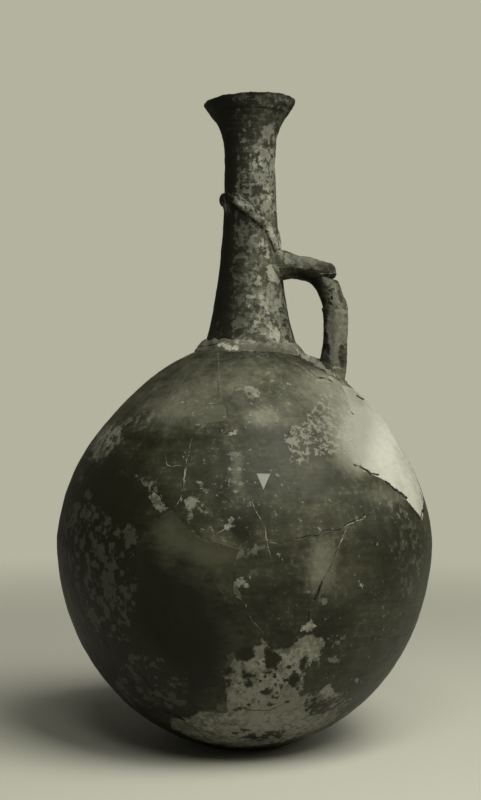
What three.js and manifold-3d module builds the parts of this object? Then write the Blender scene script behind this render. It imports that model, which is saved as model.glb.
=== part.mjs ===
// Mended pottery jug: body of sherds and plaster fills, long neck, flared mouth, loop handle, relief band.
// Millimetres, +Z up, base on Z = 0, handle towards +X, front knob towards -X.
import * as THREE from 'three';
import { mergeVertices } from 'three/addons/utils/BufferGeometryUtils.js';
import Module from 'manifold-3d';

const wasm = await Module();
wasm.setup();

// Body wall
const BODY_RADIUS = 130;
const SHOULDER_RISE = 138.9;
const SHOULDER_FULLNESS = 1.73;
const BELLY_DROP = 144.7;
const BELLY_FULLNESS = 1.98;
const BASE_RADIUS = 30;
const WALL = 6.5;
const FLOOR_THICKNESS = 8;

// Neck and mouth
const NECK_FOOT_OFFSET = 3.2;
const NECK_MOUTH_OFFSET = 1.2;
const NECK_HOLE_RADIUS = 24;
const NECK_FOOT_RADIUS = 32;
const NECK_RADIUS = 17.8;
const NECK_WALL = 6;
const NECK_TAPER_HEIGHT = 122;
const NECK_STEM_HEIGHT = 6;
const FLARE_HEIGHT = 39.7;
const MOUTH_RADIUS = 32;
const LIP_THICKNESS = 4.5;
const LIP_HEIGHT = 9;
const MOUTH_TILT = 3.8;
const MOUTH_HIGH_SIDE = -33;

// Handle
const HANDLE_REACH = 63.7;
const HANDLE_WIDTH = 20;
const HANDLE_THICKNESS = 15.6;
const HANDLE_ARM_HEIGHT = 58.4;
const HANDLE_ARM_FALL = 6.5;
const HANDLE_BEND_WIDTH = 22;
const HANDLE_BEND_DROP = 31;
const HANDLE_BEND_SWELL = 1.2;
const HANDLE_TUCK = 5.5;
const HANDLE_NECK_FLARE = 1.85;
const HANDLE_FLARE_LENGTH = 14;
const HANDLE_ROOT_FLARE = 1.25;
const HANDLE_BREAK_TILT = 20;
const HANDLE_BREAK_SHARE = 0.45;

// Relief band on the neck
const BAND_FRONT_HEIGHT = 100.6;
const BAND_HANDLE_HEIGHT = 68;
const BAND_FRONT_TURN = 115;
const BAND_BREAK_TURN = 41;
const BAND_BREAK_GAP = 4;
const BAND_HANDLE_TURN = 15;
const BAND_HANDLE_TUCK = 6;
const BAND_CURVE = 0.9;
const BAND_WIDTH = 6.5;
const BAND_PROUD = 3;
const KNOB_PROUD = 3.6;
const KNOB_WIDTH = 10;
const KNOB_TURN = 12;
const KNOB_TAIL_DROP = 11;

// Plaster at the neck joint and at the handle root
const COLLAR_RADIUS = 38;
const COLLAR_RISE = 4.5;
const COLLAR_LUMP = 2;
const ROOT_PLASTER_SPREAD = 8.5;
const ROOT_PLASTER_RISE = 7;
const ROOT_PLASTER_SHIFT = 4.5;

// Clearances
const JOINT_GAP = 0.4;
const OPEN_CRACK = 1.4;
const CUT_OVERRUN = 1;

// Heights that follow from the sizes above
const BELLY_HEIGHT = BELLY_DROP * (1 - (BASE_RADIUS / BODY_RADIUS) ** BELLY_FULLNESS) ** (1 / BELLY_FULLNESS);
const NECK_SEAT = shoulderHeight(NECK_HOLE_RADIUS - NECK_FOOT_OFFSET) + JOINT_GAP;
const FLARE_START = NECK_SEAT + NECK_TAPER_HEIGHT + NECK_STEM_HEIGHT;
const MOUTH_HEIGHT = FLARE_START + FLARE_HEIGHT;
const BELLY_CENTRE = new THREE.Vector3(0, 0, BELLY_HEIGHT);

// Corners where sherds meet, as azimuth from the handle and elevation from the belly centre, in degrees
const CORNER = {
  neckLeft: [249.5, 84],
  neckRight: [338, 84],
  neckHandle: [12, 84],
  neckBack: [95, 84],
  neckFront: [180, 84],
  plugHead: [270, 47.4],
  plugLeft: [262, 47],
  plugRight: [275.5, 41.4],
  plugFoot: [266.4, 39.9],
  fillTop: [261, 13],
  fillRight: [280.4, 2.5],
  fillPoint: [286.7, -21.2],
  fillLeft: [249, -19],
  fillFootLeft: [262.6, -47.4],
  fillFootRight: [276, -47.7],
  narrowHead: [288.3, 3.7],
  middleHead: [295.9, 5.1],
  rightHead: [311, 8.1],
  middleFoot: [300.6, -19.9],
  brightLeft: [339.9, 15.2],
  brightTip: [349.7, 7.9],
  brightBack: [13, 52],
  lowerRightHead: [312.7, -23.9],
  lowerRightFoot: [308.2, -49.9],
  sideRight: [40, 8],
  sideLow: [38, -25],
  sideFoot: [15, -52],
  frontLeft: [178, 22],
  frontLow: [170, -22],
  frontFoot: [205, -50],
  backMiddle: [100, 12],
  backLow: [105, -32],
  triangleLeft: [285.5, 24],
  triangleRight: [290, 24],
  triangleFoot: [287.5, 19],
};

// Seams between corners, with the bends of each crack on the way
const SEAMS = [
  ['neckLeft', 'plugHead', [[261, 66], [266.5, 56]]],
  ['plugHead', 'plugLeft', []],
  ['plugLeft', 'plugFoot', []],
  ['plugHead', 'plugRight', [[272.5, 47.2]]],
  ['plugRight', 'plugFoot', []],
  ['plugFoot', 'fillTop', [[263.1, 34.8], [263.4, 25.9], [263, 19.5]]],
  ['fillTop', 'fillRight', [[266.4, 7.7], [272, 5]]],
  ['fillRight', 'fillPoint', [[279, -1.5], [279.1, -8.9], [284, -16.5]]],
  ['fillPoint', 'fillFootRight', [[280.4, -25.8], [276, -33.3]]],
  ['fillFootRight', 'fillFootLeft', []],
  ['fillFootLeft', 'fillLeft', [[260.6, -33.3], [253, -25.3]]],
  ['fillLeft', 'fillTop', [[251, -8], [251, 3.2], [254.7, 8.6]]],
  ['fillRight', 'narrowHead', []],
  ['narrowHead', 'middleHead', []],
  ['narrowHead', 'fillPoint', [[290, -5], [289.4, -12.6]]],
  ['neckRight', 'middleHead', [[328.4, 66.6], [311, 55], [296.6, 36.3], [298.1, 18]]],
  ['middleHead', 'rightHead', [[303, 6]]],
  ['rightHead', 'middleFoot', [[305.4, -4.7], [301.8, -11.7]]],
  ['middleFoot', 'fillPoint', [[295, -24.6]]],
  ['rightHead', 'brightLeft', [[319.3, 10.9], [327, 13.3]]],
  ['brightLeft', 'brightTip', [], 'open'],
  ['brightLeft', 'brightBack',
    [[333.3, 20.5], [323, 24.3], [323.3, 30.6], [332.5, 45.4], [344.4, 56.2]], 'open'],
  ['brightBack', 'brightTip', [[16, 40], [11, 26], [3, 15.4]]],
  ['neckHandle', 'brightBack', [[14, 68]]],
  ['brightTip', 'sideRight', [[10, 5]]],
  ['sideRight', 'sideLow', [[45, -8]]],
  ['middleFoot', 'lowerRightHead', []],
  ['lowerRightHead', 'sideLow', [[326, -24], [349, -26], [12, -23]]],
  ['lowerRightHead', 'lowerRightFoot', [[311.3, -32.4]]],
  ['fillFootRight', 'lowerRightFoot', [[292, -48]]],
  ['lowerRightFoot', 'sideFoot', [[326, -47.5], [350, -51]]],
  ['sideLow', 'sideFoot', [[33, -38]]],
  ['fillFootLeft', 'frontFoot', [[251, -53], [236, -52]]],
  ['sideFoot', 'frontFoot', [[55, -49], [100, -54], [145, -49], [178, -53]]],
  ['fillTop', 'frontLeft', [[247.2, 20.7], [236.6, 25], [208, 26.5]]],
  ['fillLeft', 'frontLow', [[237, -23.8], [202, -26]]],
  ['frontLeft', 'frontLow', [[167, 4]]],
  ['neckFront', 'frontLeft', [[175, 62], [183, 42]]],
  ['frontLeft', 'backMiddle', [[150, 13], [124, 19]]],
  ['neckBack', 'backMiddle', [[98, 60], [91, 42], [97, 25]]],
  ['backMiddle', 'sideRight', [[74, 5]]],
  ['backMiddle', 'backLow', [[109, -6]]],
  ['sideLow', 'backLow', [[70, -31]]],
  ['backLow', 'frontLow', [[139, -25]]],
  ['frontLow', 'frontFoot', [[181, -38]]],
  ['triangleLeft', 'triangleRight', []],
  ['triangleRight', 'triangleFoot', []],
  ['triangleFoot', 'triangleLeft', []],
];

// Colours and finishes
const SLIP = { color: 0x4a4230, roughness: 0.5 };
const WORN_SLIP = { color: 0x5a5140, roughness: 0.65 };
const PLASTER = { color: 0xb9b4a0, roughness: 0.9 };
const TONED_PLASTER = { color: 0x5c563f, roughness: 0.7 };

// Pieces of the wall: name, finish and corners in order round the outline
const WALL_PIECES = [
  ['shoulder_sherd_left', SLIP, 'neckFront neckLeft plugHead plugLeft plugFoot fillTop frontLeft'],
  ['shoulder_sherd_front', WORN_SLIP,
    'neckLeft neckRight middleHead narrowHead fillRight fillTop plugFoot plugRight plugHead'],
  ['shoulder_sherd_right', WORN_SLIP, 'neckRight neckHandle brightBack brightLeft rightHead middleHead'],
  ['shoulder_sherd_back_right', SLIP, 'neckHandle neckBack backMiddle sideRight brightTip brightBack'],
  ['shoulder_sherd_back_left', SLIP, 'neckBack neckFront frontLeft backMiddle'],
  ['shoulder_plaster_fill', PLASTER, 'brightLeft brightTip brightBack'],
  ['shoulder_plaster_plug', TONED_PLASTER, 'plugHead plugRight plugFoot plugLeft'],
  ['belly_plaster_fill', TONED_PLASTER, 'fillTop fillRight fillPoint fillFootRight fillFootLeft fillLeft'],
  ['belly_sherd_left', SLIP, 'frontLeft fillTop fillLeft frontLow'],
  ['belly_sherd_narrow', WORN_SLIP, 'fillRight narrowHead fillPoint'],
  ['belly_sherd_middle', WORN_SLIP, 'narrowHead middleHead rightHead middleFoot fillPoint'],
  ['belly_sherd_right', SLIP, 'rightHead brightLeft brightTip sideRight sideLow lowerRightHead middleFoot'],
  ['belly_sherd_back_right', SLIP, 'sideRight backMiddle backLow sideLow'],
  ['belly_sherd_back_left', SLIP, 'backMiddle frontLeft frontLow backLow'],
  ['lower_sherd_left', SLIP, 'frontLow fillLeft fillFootLeft frontFoot'],
  ['lower_sherd_front', WORN_SLIP, 'fillPoint middleFoot lowerRightHead lowerRightFoot fillFootRight'],
  ['lower_sherd_right', SLIP, 'lowerRightHead sideLow sideFoot lowerRightFoot'],
  ['lower_sherd_back', SLIP, 'sideLow backLow frontLow frontFoot sideFoot'],
  ['base_sherd', WORN_SLIP, 'fillFootLeft fillFootRight lowerRightFoot sideFoot frontFoot'],
];
const TRIANGLE_PLUG = 'triangleLeft triangleRight triangleFoot';
const TRIANGLE_HOST = 'shoulder_sherd_front';

// Roundness of the meshes
const BODY_SIDES = 44;
const BODY_STEPS = 16;
const HOLLOW_SIDES = 24;
const HOLLOW_STEPS = 9;
const NECK_SIDES = 24;
const SECTION_SIDES = 10;

/** Closed solid for cutting and joining, turned right side out if needed. */
function solidOf(geometry) {
  const bare = geometry.clone();
  bare.deleteAttribute('normal');
  bare.deleteAttribute('uv');
  const merged = mergeVertices(bare, 1e-4);
  const spots = merged.getAttribute('position');
  const corners = Array.from(merged.index.array);
  const faces = [];
  let volume = 0;
  for (let i = 0; i < corners.length; i += 3) {
    const [a, b, c] = corners.slice(i, i + 3);
    if (a === b || b === c || c === a) {
      continue;
    }
    const first = new THREE.Vector3().fromBufferAttribute(spots, a);
    const second = new THREE.Vector3().fromBufferAttribute(spots, b);
    const third = new THREE.Vector3().fromBufferAttribute(spots, c);
    volume += first.dot(second.cross(third));
    faces.push([a, b, c]);
  }
  const facing = faces.map(([a, b, c]) => (volume < 0 ? [a, c, b] : [a, b, c]));
  return new wasm.Manifold(new wasm.Mesh({
    numProp: 3,
    vertProperties: new Float32Array(spots.array),
    triVerts: new Uint32Array(facing.flat()),
  }));
}

/** Named mesh of a solid. */
function meshOf(name, solid, finish) {
  const data = solid.getMesh();
  const geometry = new THREE.BufferGeometry();
  geometry.setAttribute('position', new THREE.BufferAttribute(data.vertProperties, 3));
  geometry.setIndex(new THREE.BufferAttribute(data.triVerts, 1));
  geometry.computeVertexNormals();
  const material = new THREE.MeshStandardMaterial({ ...finish, metalness: 0 });
  const mesh = new THREE.Mesh(geometry, material);
  mesh.name = name;
  return mesh;
}

/** Surface of revolution about Z from points of radius and height. */
function turned(points, sides) {
  const outline = points.map(([radius, height]) => new THREE.Vector2(radius, height));
  const lathe = new THREE.LatheGeometry(outline, sides);
  lathe.rotateX(Math.PI / 2);
  return lathe;
}

/** Distance of the neck's leaning axis from the body's axis, towards the handle, at a height. */
function neckAxis(height) {
  const share = (height - NECK_SEAT) / (MOUTH_HEIGHT - NECK_SEAT);
  return THREE.MathUtils.lerp(NECK_FOOT_OFFSET, NECK_MOUTH_OFFSET, share);
}

/** Surface moved from the body's axis to the neck's leaning axis. */
function onNeckAxis(surface) {
  const spots = surface.getAttribute('position');
  for (let i = 0; i < spots.count; i += 1) {
    spots.setX(i, spots.getX(i) + neckAxis(spots.getZ(i)));
  }
  return surface;
}

/** Height of the shoulder's outer face at a distance from the axis. */
function shoulderHeight(radius) {
  const share = 1 - (radius / BODY_RADIUS) ** SHOULDER_FULLNESS;
  return BELLY_HEIGHT + SHOULDER_RISE * share ** (1 / SHOULDER_FULLNESS);
}

/** Distance from the belly centre to the wall at an elevation, with the wall face moved in by inset. */
function bodyReach(elevation, inset) {
  const rises = elevation > 0;
  const power = rises ? SHOULDER_FULLNESS : BELLY_FULLNESS;
  const height = (rises ? SHOULDER_RISE : BELLY_DROP) - inset;
  const across = Math.abs(Math.cos(elevation)) / (BODY_RADIUS - inset);
  const along = Math.abs(Math.sin(elevation)) / height;
  return (across ** power + along ** power) ** (-1 / power);
}

/** Solid body with its face moved in by inset and a flat floor at a height. */
function bodySolid(inset, floor, sides, steps) {
  const depth = (BELLY_HEIGHT - floor) / (BELLY_DROP - inset);
  const floorRadius = (BODY_RADIUS - inset) * (1 - depth ** BELLY_FULLNESS) ** (1 / BELLY_FULLNESS);
  const lowest = Math.atan2(floor - BELLY_HEIGHT, floorRadius);
  const points = [[0, floor], [floorRadius, floor]];
  for (let step = 1; step < steps; step += 1) {
    const elevation = lowest + (Math.PI / 2 - lowest) * step / steps;
    const reach = bodyReach(elevation, inset);
    points.push([reach * Math.cos(elevation), BELLY_HEIGHT + reach * Math.sin(elevation)]);
  }
  points.push([0, BELLY_HEIGHT + SHOULDER_RISE - inset]);
  return solidOf(turned(points, sides));
}

/** Unit direction from the belly centre for an azimuth and elevation in degrees. */
function direction([azimuth, elevation]) {
  const turn = THREE.MathUtils.degToRad(azimuth);
  const lift = THREE.MathUtils.degToRad(elevation);
  return new THREE.Vector3(Math.cos(turn) * Math.cos(lift), Math.sin(turn) * Math.cos(lift), Math.sin(lift));
}

/** All directions along a seam, both corners included. */
function seamDirections([from, to, bends]) {
  return [CORNER[from], ...bends, CORNER[to]].map(direction);
}

/** Directions round the outline of a wall piece, following the seams between its corners. */
function outlineOf(corners) {
  const names = corners.split(' ');
  return names.flatMap((from, i) => {
    const to = names[(i + 1) % names.length];
    const along = SEAMS.find((seam) => seam[0] === from && seam[1] === to);
    const against = SEAMS.find((seam) => seam[0] === to && seam[1] === from);
    if (along) {
      return seamDirections(along).slice(0, -1);
    }
    return against ? seamDirections(against).reverse().slice(0, -1) : [direction(CORNER[from])];
  });
}

/** Closed solid from triangles that index into a list of points. */
function facetedSolid(points, faces) {
  const geometry = new THREE.BufferGeometry();
  geometry.setAttribute('position', new THREE.Float32BufferAttribute(points.flatMap((p) => p.toArray()), 3));
  geometry.setIndex(faces.flat());
  return solidOf(geometry);
}

/** Cone from the belly centre out through an outline, reaching well past the wall. */
function outlineCone(outline) {
  const reach = 3 * Math.max(BODY_RADIUS, SHOULDER_RISE, BELLY_DROP);
  const middle = outline.reduce((sum, way) => sum.add(way), new THREE.Vector3()).normalize();
  const helper = Math.abs(middle.z) < 0.9 ? new THREE.Vector3(0, 0, 1) : new THREE.Vector3(1, 0, 0);
  const right = new THREE.Vector3().crossVectors(helper, middle).normalize();
  const up = new THREE.Vector3().crossVectors(middle, right);
  const flat = outline.map((way) => {
    const spread = way.angleTo(middle);
    return new THREE.Vector2(way.dot(right), way.dot(up)).setLength(spread);
  });
  const faces = THREE.ShapeUtils.triangulateShape(flat, []).map(([a, b, c]) => {
    const area = THREE.ShapeUtils.area([flat[a], flat[b], flat[c]]);
    return area > 0 ? [a, b, c] : [a, c, b];
  });
  const forward = THREE.ShapeUtils.area(flat) > 0;
  const tip = outline.length;
  outline.forEach((way, i) => {
    const next = (i + 1) % outline.length;
    faces.push(forward ? [tip, next, i] : [tip, i, next]);
  });
  const points = outline.map((way) => way.clone().multiplyScalar(reach).add(BELLY_CENTRE));
  points.push(BELLY_CENTRE.clone());
  return facetedSolid(points, faces);
}

/** Thin upright slab through the wall along one straight stretch of a seam. */
function crackSlab(start, end, gap) {
  const across = new THREE.Vector3().crossVectors(start, end).normalize();
  const overrun = new THREE.Vector3().subVectors(end, start).setLength(0.6 * gap / BODY_RADIUS);
  const ends = [start.clone().sub(overrun), end.clone().add(overrun)];
  const reaches = [0.75 * (BODY_RADIUS - WALL), 1.25 * Math.max(BODY_RADIUS, SHOULDER_RISE, BELLY_DROP)];
  const points = [];
  for (const way of ends) {
    for (const reach of reaches) {
      for (const side of [-0.5, 0.5]) {
        const spot = way.clone().multiplyScalar(reach).addScaledVector(across, side * gap);
        points.push(spot.add(BELLY_CENTRE));
      }
    }
  }
  const faces = [
    [0, 1, 3], [0, 3, 2], [4, 6, 7], [4, 7, 5], [0, 4, 5], [0, 5, 1],
    [2, 3, 7], [2, 7, 6], [0, 2, 6], [0, 6, 4], [1, 5, 7], [1, 7, 3],
  ];
  return facetedSolid(points, faces);
}

/** All cracks and joints of the wall as one cutter. */
function crackNetwork() {
  let network = null;
  for (const seam of SEAMS) {
    const ways = seamDirections(seam);
    const gap = seam[3] === 'open' ? OPEN_CRACK : JOINT_GAP;
    for (let i = 0; i + 1 < ways.length; i += 1) {
      const slab = crackSlab(ways[i], ways[i + 1], gap);
      network = network ? network.add(slab) : slab;
    }
  }
  return network;
}

/** Hollow body wall, open at the neck. */
function wallShell() {
  const top = BELLY_HEIGHT + SHOULDER_RISE + CUT_OVERRUN;
  const outside = bodySolid(0, 0, BODY_SIDES, BODY_STEPS);
  const hollow = bodySolid(WALL, FLOOR_THICKNESS, HOLLOW_SIDES, HOLLOW_STEPS);
  const hole = turned(
    [[0, BELLY_HEIGHT], [NECK_HOLE_RADIUS, BELLY_HEIGHT], [NECK_HOLE_RADIUS, top], [0, top]],
    NECK_SIDES,
  );
  return outside.subtract(hollow).subtract(solidOf(onNeckAxis(hole)));
}

/** Wall pieces of the body, cut apart along the seams. */
function buildWall() {
  const group = new THREE.Group();
  group.name = 'body_wall';
  const broken = wallShell().subtract(crackNetwork());
  const trianglePlug = outlineCone(outlineOf(TRIANGLE_PLUG));
  for (const [name, finish, corners] of WALL_PIECES) {
    const piece = broken.intersect(outlineCone(outlineOf(corners)));
    group.add(meshOf(name, name === TRIANGLE_HOST ? piece.subtract(trianglePlug) : piece, finish));
  }
  group.add(meshOf('shoulder_plaster_triangle', broken.intersect(trianglePlug), PLASTER));
  return group;
}

/** Outer outline of neck and mouth as radius and height, from the seat up to the lip. */
function neckOutline() {
  const spread = NECK_FOOT_RADIUS - NECK_RADIUS;
  const taperEnd = NECK_SEAT + NECK_TAPER_HEIGHT;
  const taper = new THREE.CubicBezierCurve(
    new THREE.Vector2(NECK_FOOT_RADIUS, NECK_SEAT),
    new THREE.Vector2(NECK_RADIUS + 0.38 * spread, NECK_SEAT + 0.21 * NECK_TAPER_HEIGHT),
    new THREE.Vector2(NECK_RADIUS, NECK_SEAT + 0.6 * NECK_TAPER_HEIGHT),
    new THREE.Vector2(NECK_RADIUS, taperEnd),
  );
  const widening = MOUTH_RADIUS - NECK_RADIUS;
  const flare = new THREE.CubicBezierCurve(
    new THREE.Vector2(NECK_RADIUS, FLARE_START),
    new THREE.Vector2(NECK_RADIUS, FLARE_START + 0.62 * FLARE_HEIGHT),
    new THREE.Vector2(NECK_RADIUS + 0.5 * widening, FLARE_START + 0.7 * FLARE_HEIGHT),
    new THREE.Vector2(MOUTH_RADIUS, MOUTH_HEIGHT),
  );
  return [...taper.getPoints(5), ...flare.getPoints(6)].map((point) => [point.x, point.y]);
}

/** Outer radius of the neck at a height. */
function neckRadiusAt(height) {
  const outline = neckOutline();
  const above = Math.max(1, outline.findIndex((point) => point[1] >= height));
  const [lowRadius, lowHeight] = outline[above - 1];
  const [highRadius, highHeight] = outline[above];
  return THREE.MathUtils.mapLinear(height, lowHeight, highHeight, lowRadius, highRadius);
}

/** Neck filled to the axis and grown by the joint gap, to cut whatever sits against it. */
function neckCutter() {
  const grown = neckOutline().map(([radius, height]) => [radius + JOINT_GAP, height]);
  const foot = NECK_SEAT - JOINT_GAP;
  const points = [[0, foot], [NECK_FOOT_RADIUS + JOINT_GAP, foot], ...grown, [0, MOUTH_HEIGHT]];
  return solidOf(onNeckAxis(turned(points, NECK_SIDES)));
}

/** Ring of the neck's wall between two heights, tipped with the mouth. */
function neckWall(low, high) {
  const between = neckOutline().filter((point) => point[1] > low + JOINT_GAP && point[1] < high - JOINT_GAP);
  const outside = [[neckRadiusAt(low), low], ...between, [neckRadiusAt(high), high]];
  const inside = outside.map(([radius, height]) => {
    const share = THREE.MathUtils.smoothstep(height, FLARE_START, MOUTH_HEIGHT);
    return [radius - THREE.MathUtils.lerp(NECK_WALL, LIP_THICKNESS, share), height];
  });
  const ring = turned([...outside, ...inside.reverse(), outside[0]], NECK_SIDES);
  const slope = Math.tan(THREE.MathUtils.degToRad(MOUTH_TILT));
  const highSide = direction([MOUTH_HIGH_SIDE, 0]);
  const spots = ring.getAttribute('position');
  for (let i = 0; i < spots.count; i += 1) {
    const spot = new THREE.Vector3().fromBufferAttribute(spots, i);
    const share = THREE.MathUtils.smoothstep(spot.z, FLARE_START, MOUTH_HEIGHT);
    spots.setZ(i, spot.z + share * slope * highSide.dot(spot));
  }
  return solidOf(onNeckAxis(ring));
}

/** Neck tube and mouth rim, parted below the lip. */
function buildNeck() {
  const lipStart = MOUTH_HEIGHT - LIP_HEIGHT;
  const group = new THREE.Group();
  group.name = 'neck_and_mouth';
  group.add(meshOf('neck', neckWall(NECK_SEAT, lipStart), WORN_SLIP));
  group.add(meshOf('mouth_rim', neckWall(lipStart + JOINT_GAP, MOUTH_HEIGHT), WORN_SLIP));
  return group;
}

/** Solid through a row of rings with the same number of points, closed at both ends. */
function loftedSolid(rings) {
  const count = rings[0].length;
  const points = rings.flat();
  const faces = [];
  for (let ring = 0; ring + 1 < rings.length; ring += 1) {
    for (let i = 0; i < count; i += 1) {
      const next = (i + 1) % count;
      const a = ring * count + i;
      const b = ring * count + next;
      faces.push([a, b, b + count], [a, b + count, a + count]);
    }
  }
  const last = (rings.length - 1) * count;
  for (let i = 1; i + 1 < count; i += 1) {
    faces.push([0, i + 1, i], [last, last + i, last + i + 1]);
  }
  return facetedSolid(points, faces);
}

/** Oval ring of points round a centre. */
function ovalRing(centre, sideways, outward, halfWidth, halfThickness) {
  return Array.from({ length: SECTION_SIDES }, (unused, i) => {
    const turn = 2 * Math.PI * i / SECTION_SIDES;
    const spot = centre.clone().addScaledVector(sideways, halfWidth * Math.cos(turn));
    return spot.addScaledVector(outward, halfThickness * Math.sin(turn));
  });
}

/** Centre line of the handle, from inside the neck over the bend and down into the shoulder. */
function handlePath() {
  const armHeight = NECK_SEAT + HANDLE_ARM_HEIGHT;
  const bendStart = new THREE.Vector3(HANDLE_REACH - HANDLE_BEND_WIDTH, 0, armHeight - HANDLE_ARM_FALL);
  const bendEnd = new THREE.Vector3(HANDLE_REACH, 0, bendStart.z - HANDLE_BEND_DROP);
  const footRadius = HANDLE_REACH - HANDLE_TUCK;
  const foot = new THREE.Vector3(footRadius, 0, shoulderHeight(footRadius) - HANDLE_THICKNESS);
  const path = new THREE.CurvePath();
  path.add(new THREE.LineCurve3(new THREE.Vector3(neckAxis(armHeight), 0, armHeight), bendStart));
  path.add(new THREE.QuadraticBezierCurve3(
    bendStart,
    new THREE.Vector3(HANDLE_REACH, 0, bendStart.z - HANDLE_ARM_FALL / 3),
    bendEnd,
  ));
  path.add(new THREE.QuadraticBezierCurve3(
    bendEnd,
    new THREE.Vector3(HANDLE_REACH, 0, (bendEnd.z + foot.z) / 2),
    foot,
  ));
  return path;
}

/** Whole handle as one sweep, grown by a margin, thicker at the neck, the bend and the shoulder. */
function handleSweep(margin) {
  const path = handlePath();
  const sideways = new THREE.Vector3(0, 1, 0);
  const armHeight = NECK_SEAT + HANDLE_ARM_HEIGHT;
  const neckFace = neckAxis(armHeight) + neckRadiusAt(armHeight);
  const [armLength, bendEnd, length] = path.getCurveLengths();
  const bendMiddle = (armLength + bendEnd) / (2 * length);
  const steps = 20;
  const rings = [];
  for (let step = 0; step <= steps; step += 1) {
    const share = step / steps;
    const centre = path.getPointAt(share);
    const outward = new THREE.Vector3().crossVectors(path.getTangentAt(share), sideways).negate();
    const nearNeck = 1 - THREE.MathUtils.smoothstep(centre.x, neckFace, neckFace + HANDLE_FLARE_LENGTH);
    const nearRoot = THREE.MathUtils.smoothstep(share, 0.72, 0.95);
    const nearBend = 1 - THREE.MathUtils.smoothstep(Math.abs(share - bendMiddle), 0, 0.18);
    const ends = (HANDLE_NECK_FLARE - 1) * nearNeck + (HANDLE_ROOT_FLARE - 1) * nearRoot;
    const swell = 1 + ends + (HANDLE_BEND_SWELL - 1) * nearBend;
    const halfThickness = swell * HANDLE_THICKNESS / 2 + margin;
    rings.push(ovalRing(centre, sideways, outward, HANDLE_WIDTH / 2 + margin, halfThickness));
  }
  return loftedSolid(rings);
}

/** Large block on the far side of a plane that stands across the handle. */
function blockBeyond(point, normal) {
  const size = 4 * BODY_RADIUS;
  const box = new THREE.BoxGeometry(size, size, size);
  box.translate(0, 0, size / 2);
  box.applyQuaternion(new THREE.Quaternion().setFromUnitVectors(new THREE.Vector3(0, 0, 1), normal));
  box.translate(point.x, point.y, point.z);
  return solidOf(box);
}

/** Handle in three rejoined pieces, with the plaster round its foot. */
function buildHandle() {
  const sweep = handleSweep(0);
  const neck = neckCutter();
  const body = bodySolid(-JOINT_GAP, -JOINT_GAP, BODY_SIDES, BODY_STEPS);
  const bend = handlePath().curves[1];
  const tilt = THREE.MathUtils.degToRad(HANDLE_BREAK_TILT);
  const upperNormal = new THREE.Vector3(-Math.sin(tilt), 0, Math.cos(tilt));
  const upperBreak = bend.getPoint(HANDLE_BREAK_SHARE);
  const lowerNormal = new THREE.Vector3(0, 0, 1);
  const lowerBreak = bend.getPoint(1);
  const armBlock = blockBeyond(upperBreak, upperNormal);
  const bendTop = blockBeyond(upperBreak.clone().addScaledVector(upperNormal, -JOINT_GAP), upperNormal);
  const bendBlock = blockBeyond(lowerBreak, lowerNormal);
  const strapTop = blockBeyond(lowerBreak.clone().addScaledVector(lowerNormal, -JOINT_GAP), lowerNormal);
  const group = new THREE.Group();
  group.name = 'handle';
  group.add(meshOf('handle_arm', sweep.intersect(armBlock).subtract(neck), WORN_SLIP));
  group.add(meshOf('handle_bend', sweep.intersect(bendBlock).subtract(bendTop), WORN_SLIP));
  group.add(meshOf('handle_strap', sweep.subtract(strapTop).subtract(body), WORN_SLIP));
  group.add(meshOf('handle_root_plaster', rootPlaster(body), PLASTER));
  return group;
}

/** Lump of plaster round the handle's foot on the shoulder. */
function rootPlaster(body) {
  const radius = HANDLE_REACH - HANDLE_TUCK;
  const slope = Math.atan2(shoulderHeight(radius - 1) - shoulderHeight(radius + 1), 2);
  const lump = new THREE.SphereGeometry(1, 16, 8);
  const along = HANDLE_ROOT_FLARE * HANDLE_THICKNESS / 2 + ROOT_PLASTER_SPREAD;
  lump.scale(along / Math.cos(slope), HANDLE_WIDTH / 2 + ROOT_PLASTER_SPREAD, ROOT_PLASTER_RISE);
  lump.rotateY(slope);
  const middle = radius - ROOT_PLASTER_SHIFT;
  lump.translate(middle, 0, shoulderHeight(middle));
  const collarEdge = COLLAR_RADIUS + COLLAR_LUMP + JOINT_GAP;
  const collarRoom = turned(
    [[0, BELLY_HEIGHT], [collarEdge, BELLY_HEIGHT], [collarEdge, MOUTH_HEIGHT], [0, MOUTH_HEIGHT]],
    NECK_SIDES,
  );
  const cutter = solidOf(onNeckAxis(collarRoom)).add(handleSweep(JOINT_GAP));
  return solidOf(lump).subtract(body).subtract(cutter);
}

/** Lumpy ring of plaster that beds the neck on the shoulder. */
function buildCollar() {
  const low = shoulderHeight(COLLAR_RADIUS + COLLAR_LUMP) - WALL;
  const rim = shoulderHeight(COLLAR_RADIUS) + COLLAR_RISE / 3;
  const inner = NECK_HOLE_RADIUS + JOINT_GAP;
  const points = [
    [inner, low], [COLLAR_RADIUS, low], [COLLAR_RADIUS, rim], [NECK_FOOT_RADIUS, NECK_SEAT + COLLAR_RISE],
    [inner, NECK_SEAT + COLLAR_RISE], [inner, low],
  ];
  const ring = turned(points, NECK_SIDES);
  const spots = ring.getAttribute('position');
  for (let i = 0; i < spots.count; i += 1) {
    const turn = Math.atan2(spots.getY(i), spots.getX(i));
    const radius = Math.hypot(spots.getX(i), spots.getY(i));
    const lump = COLLAR_LUMP * (0.5 * Math.sin(3 * turn + 1) + 0.5 * Math.sin(7 * turn));
    const outside = THREE.MathUtils.smoothstep(radius, inner, COLLAR_RADIUS);
    const grown = radius + outside * lump;
    spots.setXY(i, grown * Math.cos(turn), grown * Math.sin(turn));
  }
  const body = bodySolid(-JOINT_GAP, -JOINT_GAP, BODY_SIDES, BODY_STEPS);
  const bed = solidOf(onNeckAxis(ring)).subtract(body).subtract(neckCutter());
  return meshOf('neck_joint_plaster', bed, PLASTER);
}

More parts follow.
